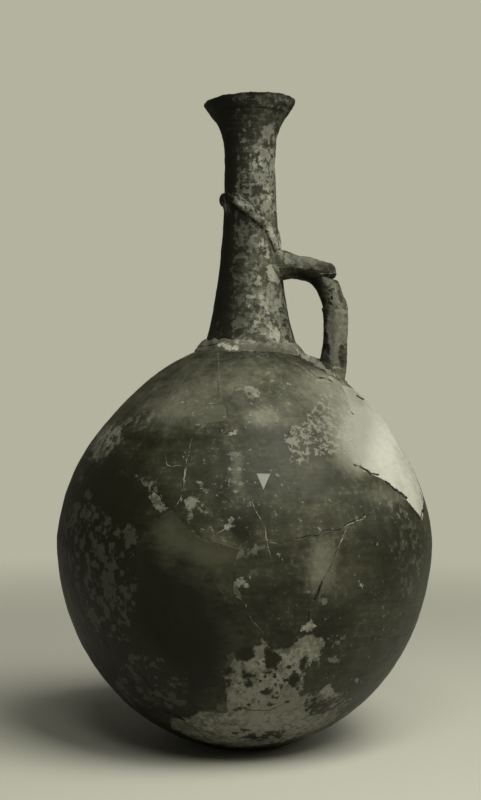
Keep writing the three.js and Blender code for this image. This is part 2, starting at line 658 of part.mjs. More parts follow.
/** Height of the relief band at a turn from the handle in degrees: low at the handle, high at the front. */
function bandHeight(turn) {
  const share = Math.min(1, Math.abs(turn) / BAND_FRONT_TURN) ** BAND_CURVE;
  return NECK_SEAT + THREE.MathUtils.lerp(BAND_HANDLE_HEIGHT, BAND_FRONT_HEIGHT, share);
}

/** Point on the neck's face at an azimuth in degrees and a height. */
function onNeck(azimuth, height) {
  const turn = THREE.MathUtils.degToRad(azimuth);
  const radius = neckRadiusAt(height);
  return new THREE.Vector3(neckAxis(height) + radius * Math.cos(turn), radius * Math.sin(turn), height);
}

/** Half-round strip laid on the neck through a row of azimuths, heights and thickness shares. */
function neckStrip(stations) {
  const spots = stations.map(([azimuth, height]) => onNeck(azimuth, height));
  const rings = stations.map(([azimuth, height, share], i) => {
    const before = spots[Math.max(0, i - 1)];
    const after = spots[Math.min(spots.length - 1, i + 1)];
    const tangent = new THREE.Vector3().subVectors(after, before).normalize();
    const outward = direction([azimuth, 0]);
    const sideways = new THREE.Vector3().crossVectors(tangent, outward).normalize();
    return ovalRing(spots[i], sideways, outward, share * BAND_WIDTH / 2, share * BAND_PROUD);
  });
  return loftedSolid(rings);
}

/** Rows of azimuth, height and thickness share along the band between two azimuths in degrees. */
function bandStations(from, to, endShare) {
  const steps = 5;
  return Array.from({ length: steps + 1 }, (unused, step) => {
    const azimuth = THREE.MathUtils.lerp(from, to, step / steps);
    const share = step === 0 ? 0.6 : THREE.MathUtils.lerp(1, endShare, step / steps);
    return [azimuth, bandHeight(azimuth), share];
  });
}

/** Strips of one side of the neck: one from the front, and one that runs down onto the handle. */
function bandStrips(sign) {
  const frontEnd = sign * (BAND_BREAK_TURN + BAND_BREAK_GAP / 2);
  const handleStart = sign * (BAND_BREAK_TURN - BAND_BREAK_GAP / 2);
  const handleEnd = sign * BAND_HANDLE_TURN;
  const armTop = NECK_SEAT + HANDLE_ARM_HEIGHT + HANDLE_NECK_FLARE * HANDLE_THICKNESS / 2;
  const low = armTop - BAND_HANDLE_TUCK;
  const middle = (bandHeight(handleEnd) + low) / 2;
  const front = bandStations(sign * BAND_FRONT_TURN, frontEnd, 0.9);
  const handle = bandStations(handleStart, handleEnd, 0.5);
  handle.push([0.8 * handleEnd, middle, 0.5]);
  handle.push([0.75 * handleEnd, low, 0.5]);
  return { front: neckStrip(front), handle: neckStrip(handle) };
}

/** Front knob with its pointed tail. */
function frontKnob() {
  const azimuth = 180 + KNOB_TURN;
  const height = NECK_SEAT + BAND_FRONT_HEIGHT;
  const lug = new THREE.SphereGeometry(1, 12, 8);
  lug.scale(KNOB_PROUD, KNOB_WIDTH / 2, KNOB_WIDTH / 2);
  lug.rotateZ(THREE.MathUtils.degToRad(azimuth));
  const seat = onNeck(azimuth, height);
  lug.translate(seat.x, seat.y, seat.z);
  const tail = neckStrip([
    [azimuth, height, 1],
    [azimuth + 12, height - 0.2 * KNOB_TAIL_DROP, 0.9],
    [azimuth + 22, height - 0.6 * KNOB_TAIL_DROP, 0.6],
    [azimuth + 27, height - KNOB_TAIL_DROP, 0.25],
  ]);
  return solidOf(lug).add(tail);
}

/** Relief band of four strips and the front knob. */
function buildBand() {
  const neck = neckCutter();
  const arm = handleSweep(JOINT_GAP);
  const group = new THREE.Group();
  group.name = 'relief_band';
  for (const [side, sign] of [['near', -1], ['far', 1]]) {
    const { front, handle } = bandStrips(sign);
    group.add(meshOf(`relief_strip_front_${side}`, front.subtract(neck), WORN_SLIP));
    group.add(meshOf(`relief_strip_handle_${side}`, handle.subtract(neck).subtract(arm), WORN_SLIP));
  }
  group.add(meshOf('front_knob', frontKnob().subtract(neck), WORN_SLIP));
  return group;
}

const jug = new THREE.Group();
jug.name = 'pottery_jug';
jug.add(buildWall());
jug.add(buildNeck());
jug.add(buildCollar());
jug.add(buildBand());
jug.add(buildHandle());

export default jug;
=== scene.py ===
"""Visual model of a mended pottery jug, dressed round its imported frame."""
import logging
import math
from collections.abc import Callable
from dataclasses import dataclass, replace
from enum import Enum
from statistics import NormalDist

import bmesh
import bpy
import numpy as np
from mathutils import Matrix, Vector
from mathutils.bvhtree import BVHTree
from mathutils.kdtree import KDTree


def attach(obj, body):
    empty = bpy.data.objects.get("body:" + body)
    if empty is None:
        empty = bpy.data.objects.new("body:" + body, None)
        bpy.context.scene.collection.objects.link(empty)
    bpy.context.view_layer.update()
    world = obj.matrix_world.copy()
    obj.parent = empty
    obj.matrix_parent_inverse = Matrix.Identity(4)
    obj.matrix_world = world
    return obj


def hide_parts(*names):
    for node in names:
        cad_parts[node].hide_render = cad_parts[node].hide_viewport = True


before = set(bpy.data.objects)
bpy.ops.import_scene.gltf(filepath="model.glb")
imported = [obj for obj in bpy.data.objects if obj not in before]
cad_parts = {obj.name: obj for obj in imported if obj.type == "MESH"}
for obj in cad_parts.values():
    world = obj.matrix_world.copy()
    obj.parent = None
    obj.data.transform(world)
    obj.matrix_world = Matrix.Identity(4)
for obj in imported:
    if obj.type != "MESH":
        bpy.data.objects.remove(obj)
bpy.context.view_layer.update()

BODY = "root"
MM = 0.001
Array = np.ndarray
Colour = tuple[float, float, float]
Pixel = tuple[float, float]
Box = tuple[float, float, float, float]
Material = bpy.types.Material
Socket = bpy.types.NodeSocket
Value = Socket | float | tuple[float, ...]
TINY = 1e-9
# Millimetres: farther than any mark, and how near corners are cut and welded.
FAR = 99.0
CUT_REACH = 1e-4
WELD_REACH = 1e-3
MOST_ROUNDS = 14
POLE_GAP = 0.02
# Noise: large odd numbers that scramble cells, how layers differ, and how far layered noise usually strays.
CELL_STEPS = (73856093, 19349663, 83492791)
SEED_STEP = 2654435761
MIXING = ((13, 1540483477), (15, 668265263))
LAYER_SHIFT = 17.3
LAYER_SIZE = 0.47
NOISE_SPREAD = 0.45
# Depths of a mark over which its relief sets in.
BREAK_DEPTH = 3.0
MARK_EDGE = (-0.5, 0.6)
PIT_EDGE = (-0.5, 0.8)
GROOVE_EDGE = (-0.35, 0.35)

log = logging.getLogger("jug")


class Slot(Enum):
    """Material slots of the record."""

    DARK_SLIP = "dark_slip"
    WORN_SLIP = "worn_slip"
    PLASTER = "plaster"
    TONED_PLASTER = "toned_plaster"


class Trace(Enum):
    """What a mark on the surface is made of; a stain also stands for painted shade in a few hollows."""

    BARE = "bare"
    CRUST = "crust"
    STAIN = "stain"


class LineKind(Enum):
    """Two sorts of drawn line: a filled joint, and an open crack that also stands for painted shadow lines.
    """

    PALE = "pale_line"
    DARK = "dark_line"


class Side(Enum):
    """Which way a face of the wall looks."""

    EDGE = 0
    OUTER = 1
    INNER = 2


def smoothstep(value: Array, low: float, high: float) -> Array:
    """Ease from 0 at low to 1 at high."""
    share = np.clip((value - low) / (high - low), 0.0, 1.0)
    return share * share * (3.0 - 2.0 * share)


def unit(vectors: Array) -> Array:
    """Vectors at length one."""
    return vectors / np.maximum(np.linalg.norm(vectors, axis=-1, keepdims=True), TINY)


@dataclass(frozen=True)
class Grain:
    """Seeded smooth noise in space, between about -1 and 1."""

    seed: int

    def lattice(self, cells: Array) -> Array:
        """Repeatable number for each whole-number cell.

        Args:
            cells: Cell indices, one row each.

        Returns:
            Numbers between -1 and 1.
        """
        mixed = self.seed * SEED_STEP
        for axis, step in enumerate(CELL_STEPS):
            mixed = mixed ^ cells[:, axis] * step
        for shift, factor in MIXING:
            mixed = (mixed ^ mixed >> shift) * factor
        return (mixed >> 7 & 65535) / 32767.5 - 1.0

    def smooth(self, points: Array, size: float) -> Array:
        """Noise whose bumps are about one size across.

        Args:
            points: Places in millimetres.
            size: Width of a bump in millimetres.

        Returns:
            One number for each place.
        """
        cells = points / size
        base = np.floor(cells).astype(np.int64)
        part = cells - base
        ease = part ** 3 * (part * (part * 6.0 - 15.0) + 10.0)
        total = np.zeros(len(points))
        for corner in range(8):
            step = np.array([corner & 1, corner >> 1 & 1, corner >> 2 & 1])
            weight = np.prod(np.where(step == 1, ease, 1.0 - ease), axis=1)
            total += weight * self.lattice(base + step)
        return total

    def layered(self, points: Array, size: float, layers: int = 3) -> Array:
        """Noise with finer bumps laid over coarse ones.

        Args:
            points: Places in millimetres.
            size: Width of the coarsest bump in millimetres.
            layers: How many sizes are laid over each other.

        Returns:
            One number for each place.
        """
        total = np.zeros(len(points))
        for layer in range(layers):
            moved = points + LAYER_SHIFT * layer
            total += 0.5 ** layer * self.smooth(moved, size * LAYER_SIZE ** layer)
        return total


@dataclass(frozen=True)
class PhotoView:
    """Camera of the photograph, as a level eye in front of the jug, in millimetres and pixels."""

    distance: float = 979.2
    height: float = 237.4
    turn: float = 12.0
    roll: float = 0.5
    focal: float = 1400.0
    axis_column: float = 245.43
    middle_column: float = 240.5
    middle_row: float = 400.0
    long_side: float = 800.0
    film: float = 36.0
    scale: float = 0.70
    facing: tuple[float, float] = (0.02, 0.17)

    def eye(self) -> Array:
        """Place of the camera in millimetres."""
        turn = math.radians(self.turn)
        return np.array([self.distance * math.sin(turn), -self.distance * math.cos(turn), self.height])

    def pixels(self, points: Array) -> Array:
        """Columns and rows of places in the picture.

        Args:
            points: Places in millimetres.

        Returns:
            One row of column and row for each place.
        """
        turn, roll = math.radians(self.turn), math.radians(self.roll)
        across = points[:, 0] * math.cos(turn) + points[:, 1] * math.sin(turn)
        depth = self.distance - points[:, 0] * math.sin(turn) + points[:, 1] * math.cos(turn)
        right = self.focal * across / depth + self.axis_column - self.middle_column
        down = -self.focal * (points[:, 2] - self.height) / depth
        column = right * math.cos(roll) - down * math.sin(roll) + self.middle_column
        row = right * math.sin(roll) + down * math.cos(roll) + self.middle_row
        return np.stack([column, row], axis=1)

    def seen(self, points: Array, normals: Array) -> Array:
        """How far each place faces the camera, eased to 0 where it turns away."""
        towards = np.sum(unit(self.eye() - points) * normals, axis=1)
        return smoothstep(towards, *self.facing)

    def make_camera(self) -> None:
        """Create the camera and make it the scene's."""
        camera = bpy.data.cameras.new("photo_camera")
        camera.sensor_width = self.film
        camera.lens = self.focal * self.film / self.long_side
        pan = math.radians(self.turn) + math.atan((self.axis_column - self.middle_column) / self.focal)
        aim = Matrix.Rotation(pan, 4, "Z") @ Matrix.Rotation(math.pi / 2, 4, "X")
        holder = bpy.data.objects.new("photo_camera", camera)
        place = Matrix.Translation(Vector(self.eye() * MM))
        holder.matrix_world = place @ aim @ Matrix.Rotation(math.radians(self.roll), 4, "Z")
        bpy.context.collection.objects.link(holder)
        bpy.context.scene.camera = holder


@dataclass(frozen=True)
class BodyForm:
    """Round body of the jug in millimetres, on the flat base at height 0."""

    radius: float = 130.0
    shoulder_rise: float = 138.9
    shoulder_fullness: float = 1.73
    belly_drop: float = 144.7
    belly_fullness: float = 1.98
    base_radius: float = 30.0
    wall: float = 6.5
    floor: float = 8.0

    @property
    def centre_height(self) -> float:
        """Height of the widest part above the base."""
        power = self.belly_fullness
        return self.belly_drop * (1.0 - (self.base_radius / self.radius) ** power) ** (1.0 / power)

    def centre(self) -> Array:
        """Middle of the body at its widest part."""
        return np.array([0.0, 0.0, self.centre_height])

    def shoulder_height(self, radius: Array) -> Array:
        """Height of the shoulder's outer face at a distance from the axis."""
        share = np.maximum(1.0 - (np.abs(radius) / self.radius) ** self.shoulder_fullness, 0.0)
        return self.centre_height + self.shoulder_rise * share ** (1.0 / self.shoulder_fullness)

    def reach(self, rays: Array, inset: float, floor: float) -> Array:
        """Distance from the centre to the wall along unit directions.

        Args:
            rays: Unit directions from the centre.
            inset: How far the face is moved in.
            floor: Height of the flat bottom of that face.

        Returns:
            Distances in millimetres.
        """
        rises = rays[:, 2] > 0.0
        power = np.where(rises, self.shoulder_fullness, self.belly_fullness)
        height = np.where(rises, self.shoulder_rise, self.belly_drop) - inset
        across = np.hypot(rays[:, 0], rays[:, 1]) / (self.radius - inset)
        along = np.abs(rays[:, 2]) / height
        curve = (across ** power + along ** power) ** (-1.0 / power)
        flat = (self.centre_height - floor) / np.maximum(-rays[:, 2], 1e-6)
        return np.where(rises, curve, np.minimum(curve, flat))


@dataclass(frozen=True)
class NeckForm:
    """Leaning neck and tipped mouth in millimetres."""

    body: BodyForm = BodyForm()
    foot_offset: float = 3.2
    mouth_offset: float = 1.2
    hole_radius: float = 24.0
    foot_radius: float = 32.0
    radius: float = 17.8
    wall: float = 6.0
    taper_height: float = 122.0
    stem_height: float = 6.0
    flare_height: float = 39.7
    mouth_radius: float = 32.0
    lip_thickness: float = 4.5
    lip_height: float = 9.0
    mouth_tilt: float = 3.8
    high_side: float = -33.0
    joint: float = 0.4
    curve_steps: int = 80

    @property
    def seat(self) -> float:
        """Height at which the neck stands on the shoulder."""
        return float(self.body.shoulder_height(self.hole_radius - self.foot_offset)) + self.joint

    @property
    def flare_start(self) -> float:
        """Height at which the neck starts to widen to the mouth."""
        return self.seat + self.taper_height + self.stem_height

    @property
    def mouth_height(self) -> float:
        """Height of the lip before it is tipped."""
        return self.flare_start + self.flare_height

    def radius_at(self, height: Array) -> Array:
        """Outer radius at heights, from two smooth curves.

        Args:
            height: Heights above the base.

        Returns:
            Radii in millimetres.
        """
        share = np.linspace(0.0, 1.0, self.curve_steps)[:, None]
        spread = self.foot_radius - self.radius
        widening = self.mouth_radius - self.radius
        taper = bezier(share, [
            (self.foot_radius, self.seat),
            (self.radius + 0.38 * spread, self.seat + 0.21 * self.taper_height),
            (self.radius, self.seat + 0.6 * self.taper_height),
            (self.radius, self.seat + self.taper_height),
        ])
        flare = bezier(share, [
            (self.radius, self.flare_start),
            (self.radius, self.flare_start + 0.62 * self.flare_height),
            (self.radius + 0.5 * widening, self.flare_start + 0.7 * self.flare_height),
            (self.mouth_radius, self.mouth_height),
        ])
        outline = np.concatenate([taper, flare])
        return np.interp(height, outline[:, 1], outline[:, 0])

    def axis(self, height: Array) -> Array:
        """Distance of the neck's axis from the body's axis, towards the handle."""
        share = (height - self.seat) / (self.mouth_height - self.seat)
        return self.foot_offset + (self.mouth_offset - self.foot_offset) * share

    def thickness(self, height: Array) -> Array:
        """Thickness of the neck's wall, thinner at the lip."""
        share = smoothstep(height, self.flare_start, self.mouth_height)
        return self.wall + (self.lip_thickness - self.wall) * share

    def placed(self, radius: Array, turn: Array, height: Array) -> Array:
        """Places on the leaning, tipped neck.

        Args:
            radius: Distances from the neck's axis.
            turn: Angles from the handle in radians.
            height: Heights before the mouth is tipped.

        Returns:
            One place for each row.
        """
        share = smoothstep(height, self.flare_start, self.mouth_height)
        slope = math.tan(math.radians(self.mouth_tilt))
        lift = share * slope * radius * np.cos(turn - math.radians(self.high_side))
        tipped = height + lift
        across = self.axis(tipped) + radius * np.cos(turn)
        return np.stack([across, radius * np.sin(turn), tipped], axis=-1)


def around(sides: int) -> Array:
    """Evenly spaced turns of a full circle, in radians."""
    return np.linspace(0.0, 2.0 * math.pi, sides, endpoint=False)


def squarish(wave: Array, power: float) -> Array:
    """Sine or cosine filled out towards a square when the power is below 1."""
    return np.sign(wave) * np.abs(wave) ** power


def bezier(share: Array, corners: list[tuple[float, ...]]) -> Array:
    """Points of a smooth curve through its end corners.

    Args:
        share: Column of shares from 0 to 1.
        corners: Three or four corners of the curve.

    Returns:
        One point for each share.
    """
    layer = [np.array(corner)[None, :] + 0.0 * share for corner in corners]
    while len(layer) > 1:
        layer = [(1.0 - share) * a + share * b for a, b in zip(layer, layer[1:])]
    return layer[0]


@dataclass
class Blank:
    """Triangle mesh in millimetres before it is dressed."""

    points: Array
    faces: Array
    tags: Array | None = None

    def __post_init__(self) -> None:
        """Start with every face on a broken edge where no sides are given."""
        if self.tags is None:
            self.tags = np.full(len(self.faces), Side.EDGE.value, dtype=np.int8)

    @classmethod
    def of_all(cls, blanks: list["Blank"]) -> "Blank":
        """Several meshes laid together as one.

        Args:
            blanks: Meshes to lay together.

        Returns:
            Mesh with all their corners and faces.
        """
        starts = np.cumsum([0] + [len(blank.points) for blank in blanks])
        faces = [blank.faces + start for blank, start in zip(blanks, starts)]
        return cls(np.concatenate([blank.points for blank in blanks]), np.concatenate(faces))

    @classmethod
    def of_node(cls, node: str) -> "Blank":
        """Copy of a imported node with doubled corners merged.

        Args:
            node: Name of the node.

        Returns:
            The node's mesh.
        """
        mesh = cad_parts[node].data
        mesh.calc_loop_triangles()
        points = np.empty(len(mesh.vertices) * 3)
        mesh.vertices.foreach_get("co", points)
        faces = np.empty(len(mesh.loop_triangles) * 3, dtype=np.int32)
        mesh.loop_triangles.foreach_get("vertices", faces)
        points = np.round(points.reshape(-1, 3) / MM, 3)
        points, where = np.unique(points, axis=0, return_inverse=True)
        faces = where.reshape(-1)[faces].reshape(-1, 3)
        whole = np.all(faces != np.roll(faces, 1, axis=1), axis=1)
        return cls(points, faces[whole])

    def face_normals(self) -> Array:
        """Unit normals of the faces."""
        a, b, c = (self.points[self.faces[:, i]] for i in range(3))
        return unit(np.cross(b - a, c - a))

    def normals(self) -> Array:
        """Unit normals of the corners, weighted by face area.

        Returns:
            One direction for each corner.
        """
        a, b, c = (self.points[self.faces[:, i]] for i in range(3))
        area = np.cross(b - a, c - a)
        total = np.zeros_like(self.points)
        for i in range(3):
            np.add.at(total, self.faces[:, i], area)
        return unit(total)

    def refine(self, longest: Callable[[Array], Array]) -> None:
        """Split every edge that is longer than its limit, until none is.

        Args:
            longest: Function from edge middles to the longest edge allowed there.
        """
        for _ in range(MOST_ROUNDS):
            pairs = np.sort(self.faces[:, [[0, 1], [1, 2], [2, 0]]].reshape(-1, 2), axis=1)
            keys = pairs[:, 0].astype(np.int64) * len(self.points) + pairs[:, 1]
            unique, first, where = np.unique(keys, return_index=True, return_inverse=True)
            ends = self.points[pairs[first]]
            middles = ends.mean(axis=1)
            long = np.linalg.norm(ends[:, 0] - ends[:, 1], axis=1) > longest(middles)
            if not long.any():
                break
            number = np.full(len(unique), -1, dtype=np.int64)
            number[long] = len(self.points) + np.arange(long.sum())
            self.points = np.vstack([self.points, middles[long]])
            self.split(number[where].reshape(-1, 3))

    def split(self, cut: Array) -> None:
        """Replace faces by smaller ones at the middles of their cut edges.

        Args:
            cut: For each face, the new corner on each edge, or -1.
        """
        count = (cut >= 0).sum(axis=1)
        kept = [self.faces[count == 0]]
        tags = [self.tags[count == 0]]
        for cuts in (1, 2, 3):
            chosen = count == cuts
            if not chosen.any():
                continue
            face, mid, tag = self.faces[chosen], cut[chosen], self.tags[chosen]
            first = np.argmax(mid >= 0, axis=1) if cuts == 1 else (np.argmin(mid, axis=1) + 1) % 3
            roll = (first[:, None] + np.arange(3)) % 3
            rows = np.arange(len(face))[:, None]
            a, b, c = face[rows, roll].T
            ab, bc, ca = mid[rows, roll].T
            if cuts == 1:
                parts = [(a, ab, c), (ab, b, c)]
            elif cuts == 2:
                parts = [(ab, b, bc), (a, ab, bc), (a, bc, c)]
            else:
                parts = [(a, ab, ca), (ab, b, bc), (ca, bc, c), (ab, bc, ca)]
            kept += [np.stack(part, axis=1) for part in parts]
            tags += [tag] * len(parts)
        self.faces = np.concatenate(kept)
        self.tags = np.concatenate(tags)

    def on_side(self, side: Side) -> Array:
        """Which corners belong to faces of a side."""
        return np.isin(np.arange(len(self.points)), self.faces[self.tags == side.value])

    def dress(self, node: str, slot: Slot, material: Material, fields: dict[str, Array],
              sharp: float = 55.0) -> None:
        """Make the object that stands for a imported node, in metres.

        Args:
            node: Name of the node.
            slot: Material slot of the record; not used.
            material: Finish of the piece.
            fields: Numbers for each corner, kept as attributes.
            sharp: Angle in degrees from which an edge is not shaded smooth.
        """
        name = f"{node}_dressed"
        mesh = bpy.data.meshes.new(name)
        mesh.from_pydata((self.points * MM).tolist(), [], self.faces.tolist())
        mesh.validate()
        mesh.shade_smooth()
        mesh.set_sharp_from_angle(angle=math.radians(sharp))
        for key, values in fields.items():
            kept = mesh.attributes.new(key, "FLOAT", "POINT")
            kept.data.foreach_set("value", values.astype(np.float32))
        mesh.materials.append(material)
        piece = bpy.data.objects.new(name, mesh)
        bpy.context.collection.objects.link(piece)
        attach(piece, BODY)
        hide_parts(node)
        log.info("%s: %d faces", name, len(mesh.polygons))


def loft(rings: Array, closed_row: bool = False) -> Blank:
    """Skin through a row of rings with equal numbers of points.

    Args:
        rings: Array of rings, each a row of places.
        closed_row: Whether the last ring joins the first; if not, both ends are capped.

    Returns:
        Closed triangle mesh.
    """
    rows, count = rings.shape[:2]
    row = np.arange(rows if closed_row else rows - 1)[:, None]
    spot = np.arange(count)[None, :]
    after = (spot + 1) % count
    low, high = row * count, (row + 1) % rows * count
    corners = [(low + spot, low + after, high + after), (low + spot, high + after, high + spot)]
    faces = np.concatenate([np.stack(corner, -1).reshape(-1, 3) for corner in corners])
    points = rings.reshape(-1, 3)
    if not closed_row:
        middle = np.array([rings[0].mean(axis=0), rings[-1].mean(axis=0)])
        base, last = np.full(count, len(points)), (rows - 1) * count
        first_cap = np.stack([base, after[0], spot[0]], axis=1)
        last_cap = np.stack([base + 1, last + spot[0], last + after[0]], axis=1)
        faces = np.concatenate([faces, first_cap, last_cap])
        points = np.concatenate([points, middle])
    blank = Blank(points, faces)
    a, b, c = (blank.points[blank.faces[:, i]] for i in range(3))
    if np.sum(a * np.cross(b, c)) < 0.0:
        blank.faces = blank.faces[:, ::-1].copy()
    return blank


@dataclass(frozen=True)
class Spot:
    """Oval mark at a pixel of the photograph."""

    name: str
    kind: Trace
    column: float
    row: float
    half_width: float
    half_height: float
    turn: float = 0.0
    ragged: float = 0.7
    share: float = 1.0
    cover: float = 1.0

    def box(self) -> Box:
        """Lowest and highest column and row that the mark touches."""
        reach = max(self.half_width, self.half_height)
        return self.column - reach, self.column + reach, self.row - reach, self.row + reach

    def depth(self, pixels: Array, noise: Array) -> Array:
        """Pixels inside the mark's edge, negative outside.

        Args:
            pixels: Columns and rows.
            noise: Raggedness at the same places.

        Returns:
            Depths in pixels.
        """
        turn = math.radians(self.turn)
        right, down = pixels[:, 0] - self.column, pixels[:, 1] - self.row
        along = (right * math.cos(turn) + down * math.sin(turn)) / self.half_width
        across = (down * math.cos(turn) - right * math.sin(turn)) / self.half_height
        inside = (1.0 - np.hypot(along, across)) * min(self.half_width, self.half_height)
        return inside + self.ragged * noise


@dataclass(frozen=True)
class Drawn:
    """Mark along corners in the photograph, given as columns and rows in turn."""

    name: str
    kind: Enum
    outline: tuple[float, ...]

    def corners(self) -> list[Pixel]:
        """Column and row of each corner."""
        return list(zip(self.outline[::2], self.outline[1::2]))

    def box(self) -> Box:
        """Lowest and highest column and row that the mark touches."""
        columns, rows = self.outline[::2], self.outline[1::2]
        return min(columns), max(columns), min(rows), max(rows)


@dataclass(frozen=True)
class Zone(Drawn):
    """Mark inside a closed outline; a cover below 1 leaves a broken, speckled patch."""

    ragged: float = 1.2
    cover: float = 1.0
    grain: float = 4.0
    share: float = 1.0
    bite: float = BREAK_DEPTH

    def depth(self, pixels: Array, noise: Array) -> Array:
        """Pixels inside the mark's edge, negative outside.

        Args:
            pixels: Columns and rows.
            noise: Raggedness at the same places.

        Returns:
            Depths in pixels.
        """
        near = np.full(len(pixels), np.inf)
        inside = np.zeros(len(pixels), dtype=bool)
        corners = self.corners()
        for (c0, r0), (c1, r1) in zip(corners, corners[1:] + corners[:1]):
            near = np.minimum(near, segment_distance(pixels, (c0, r0), (c1, r1)))
            crosses = (r0 > pixels[:, 1]) != (r1 > pixels[:, 1])
            if r1 != r0:
                inside ^= crosses & (pixels[:, 0] < (c1 - c0) * (pixels[:, 1] - r0) / (r1 - r0) + c0)
        return np.where(inside, near, -near) + self.ragged * noise

    def broken(self, speck: Array) -> Array:
        """Depth in millimetres that leaves only the patch's share of cover."""
        return self.bite * (speck - NOISE_SPREAD * NormalDist().inv_cdf(1.0 - self.cover))


@dataclass(frozen=True)
class Line(Drawn):
    """Open line from corner to corner."""

    half_width: float = 0.5
    share: float = 1.0
    cover: float = 1.0

    def depth(self, pixels: Array, _noise: Array | None = None) -> Array:
        """Pixels inside the line's edge, negative outside.

        Args:
            pixels: Columns and rows.
            _noise: Raggedness, which a line has none of; not used.

        Returns:
            Depths in pixels.
        """
        near = np.full(len(pixels), np.inf)
        corners = self.corners()
        for start, end in zip(corners, corners[1:]):
            near = np.minimum(near, segment_distance(pixels, start, end))
        return self.half_width - near


@dataclass(frozen=True)
class Glow:
    """Soft lighter or darker area at a pixel of the photograph, used for painted light, shade and glare and
    for lighter or darker tone.
    """

    name: str
    column: float
    row: float
    half_width: float
    half_height: float
    strength: float

    def level(self, pixels: Array) -> Array:
        """Change of tone at pixels, fading to 0 outside."""
        away = (pixels - (self.column, self.row)) / (self.half_width, self.half_height)
        return self.strength * np.exp(-np.sum(away * away, axis=1))


def segment_distance(pixels: Array, start: Pixel, end: Pixel) -> Array:
    """Distance of pixels from a straight stretch.

    Args:
        pixels: Columns and rows.
        start: First end of the stretch.
        end: Second end of the stretch.

    Returns:
        Distances in pixels.
    """
    first, along = np.array(start), np.array(end) - np.array(start)
    share = np.clip((pixels - first) @ along / max(float(along @ along), TINY), 0.0, 1.0)
    return np.linalg.norm(pixels - first - share[:, None] * along, axis=1)


BARE, CRUST, STAIN = Trace.BARE, Trace.CRUST, Trace.STAIN
PALE, DARK = LineKind.PALE, LineKind.DARK

SHOULDER_MARKS = (
    Zone("left_patch", BARE, (
        87, 451, 91, 439, 100, 428, 115, 423, 120, 428, 117, 443, 110, 450, 107, 457, 97, 461, 86, 458,
    ), ragged=1.6, cover=0.7, grain=4.0, share=0.55),
    Zone("left_patch_tail", BARE, (115, 424, 133, 416, 152, 412, 150, 420, 128, 426),
         cover=0.4, grain=3.6, share=0.35),
    Zone("left_patch_edge", CRUST, (86, 457, 96, 456, 106, 457, 102, 460, 98, 465, 95, 460),
         cover=0.7, share=0.55),
    Zone("left_patch_crumbs", CRUST, (96, 436, 112, 426, 118, 430, 108, 446),
         cover=0.35, grain=2.4, share=0.5),
    Zone("leaf_scrape", BARE, (137, 478, 147, 483, 157, 484, 161, 490, 152, 493, 144, 486),
         cover=0.6, share=0.5),
    Zone("leaf_chip", CRUST, (
        149.5, 494, 155, 492, 161, 496, 165, 503, 167, 511, 161, 513, 155, 507, 151, 501,
    ), ragged=0.8, share=0.6),
    Zone("hook_chip", CRUST, (
        231, 391, 235, 388, 247, 387, 256, 389, 258, 395, 251, 398, 250, 405, 246, 401, 245, 394, 240, 391,
    ), ragged=0.9, cover=0.85, grain=3.0, share=0.6),
    Zone("crescent", CRUST, (220, 430, 223, 434, 231, 434, 235, 431, 235, 435, 227, 437, 220, 434),
         ragged=0.6, cover=0.8, grain=2.0, share=0.75),
    Zone("shoulder_smear", BARE, (249, 410, 262, 406, 279, 410, 276, 424, 256, 427),
         cover=0.35, grain=3.0, share=0.3),
    Zone("speckled_shoulder", CRUST, (
        284, 439, 289, 428, 300, 424, 307, 415, 316, 406, 319, 396, 330, 394, 341, 403, 346, 412, 348, 431,
        353, 447, 344, 453, 328, 453, 309, 457, 300, 465, 292, 464, 288, 450,
    ), ragged=1.0, cover=0.5, grain=2.6, share=0.46, bite=0.6),
    Zone("leaf_flake", CRUST, (285, 442, 291, 433, 296, 437, 295, 448, 292, 455, 288, 449),
         cover=0.9, share=0.5),
    Zone("ridge_smear", CRUST, (
        326, 388, 334, 391, 346, 404, 356, 420, 357, 446, 348, 446, 346, 424, 338, 404,
    ), ragged=1.6, cover=0.6, grain=3.0, share=0.36, bite=0.7),
    Zone("root_smear", CRUST, (302, 367, 318, 372, 336, 381, 346, 398, 326, 390, 310, 380),
         cover=0.42, share=0.4),
    Spot("pale_pair_high", CRUST, 191, 502, 7, 4, 0, 1.6, share=0.7),
    Spot("pale_pair_low", BARE, 191, 513, 2, 4, share=0.6),
    Spot("tick_low", BARE, 206, 512, 4.5, 1.5, 20, share=0.6),
    Spot("tick_left", CRUST, 199, 484, 3.2, 1.2, 50, share=0.6),
    Spot("tick_high", BARE, 206, 490, 2, 1.6, share=0.5),
    # Glints in the glare: painted highlight, partly real pale flakes, drawn as crust and bare clay.
    Spot("glint_low", CRUST, 237, 493, 5.5, 3.2, 0, 1.8, share=0.7),
    Zone("glint_high", BARE, (231, 448, 240, 446, 243, 486, 230, 488), cover=0.3, grain=3.0, share=0.45),
    Spot("left_spot_high", BARE, 81, 477, 1.6, 4, share=0.4),
    Spot("left_spot_low", BARE, 87.6, 494, 3.0, 4.6, share=0.4),
    Zone("shoulder_specks", CRUST, (170, 395, 200, 375, 240, 370, 290, 375, 285, 420, 230, 430, 190, 425),
         cover=0.022, grain=1.8, share=0.5),
    Zone("belly_specks", CRUST, (180, 440, 240, 435, 300, 470, 310, 520, 240, 545, 190, 530),
         cover=0.016, grain=1.8, share=0.45),
)

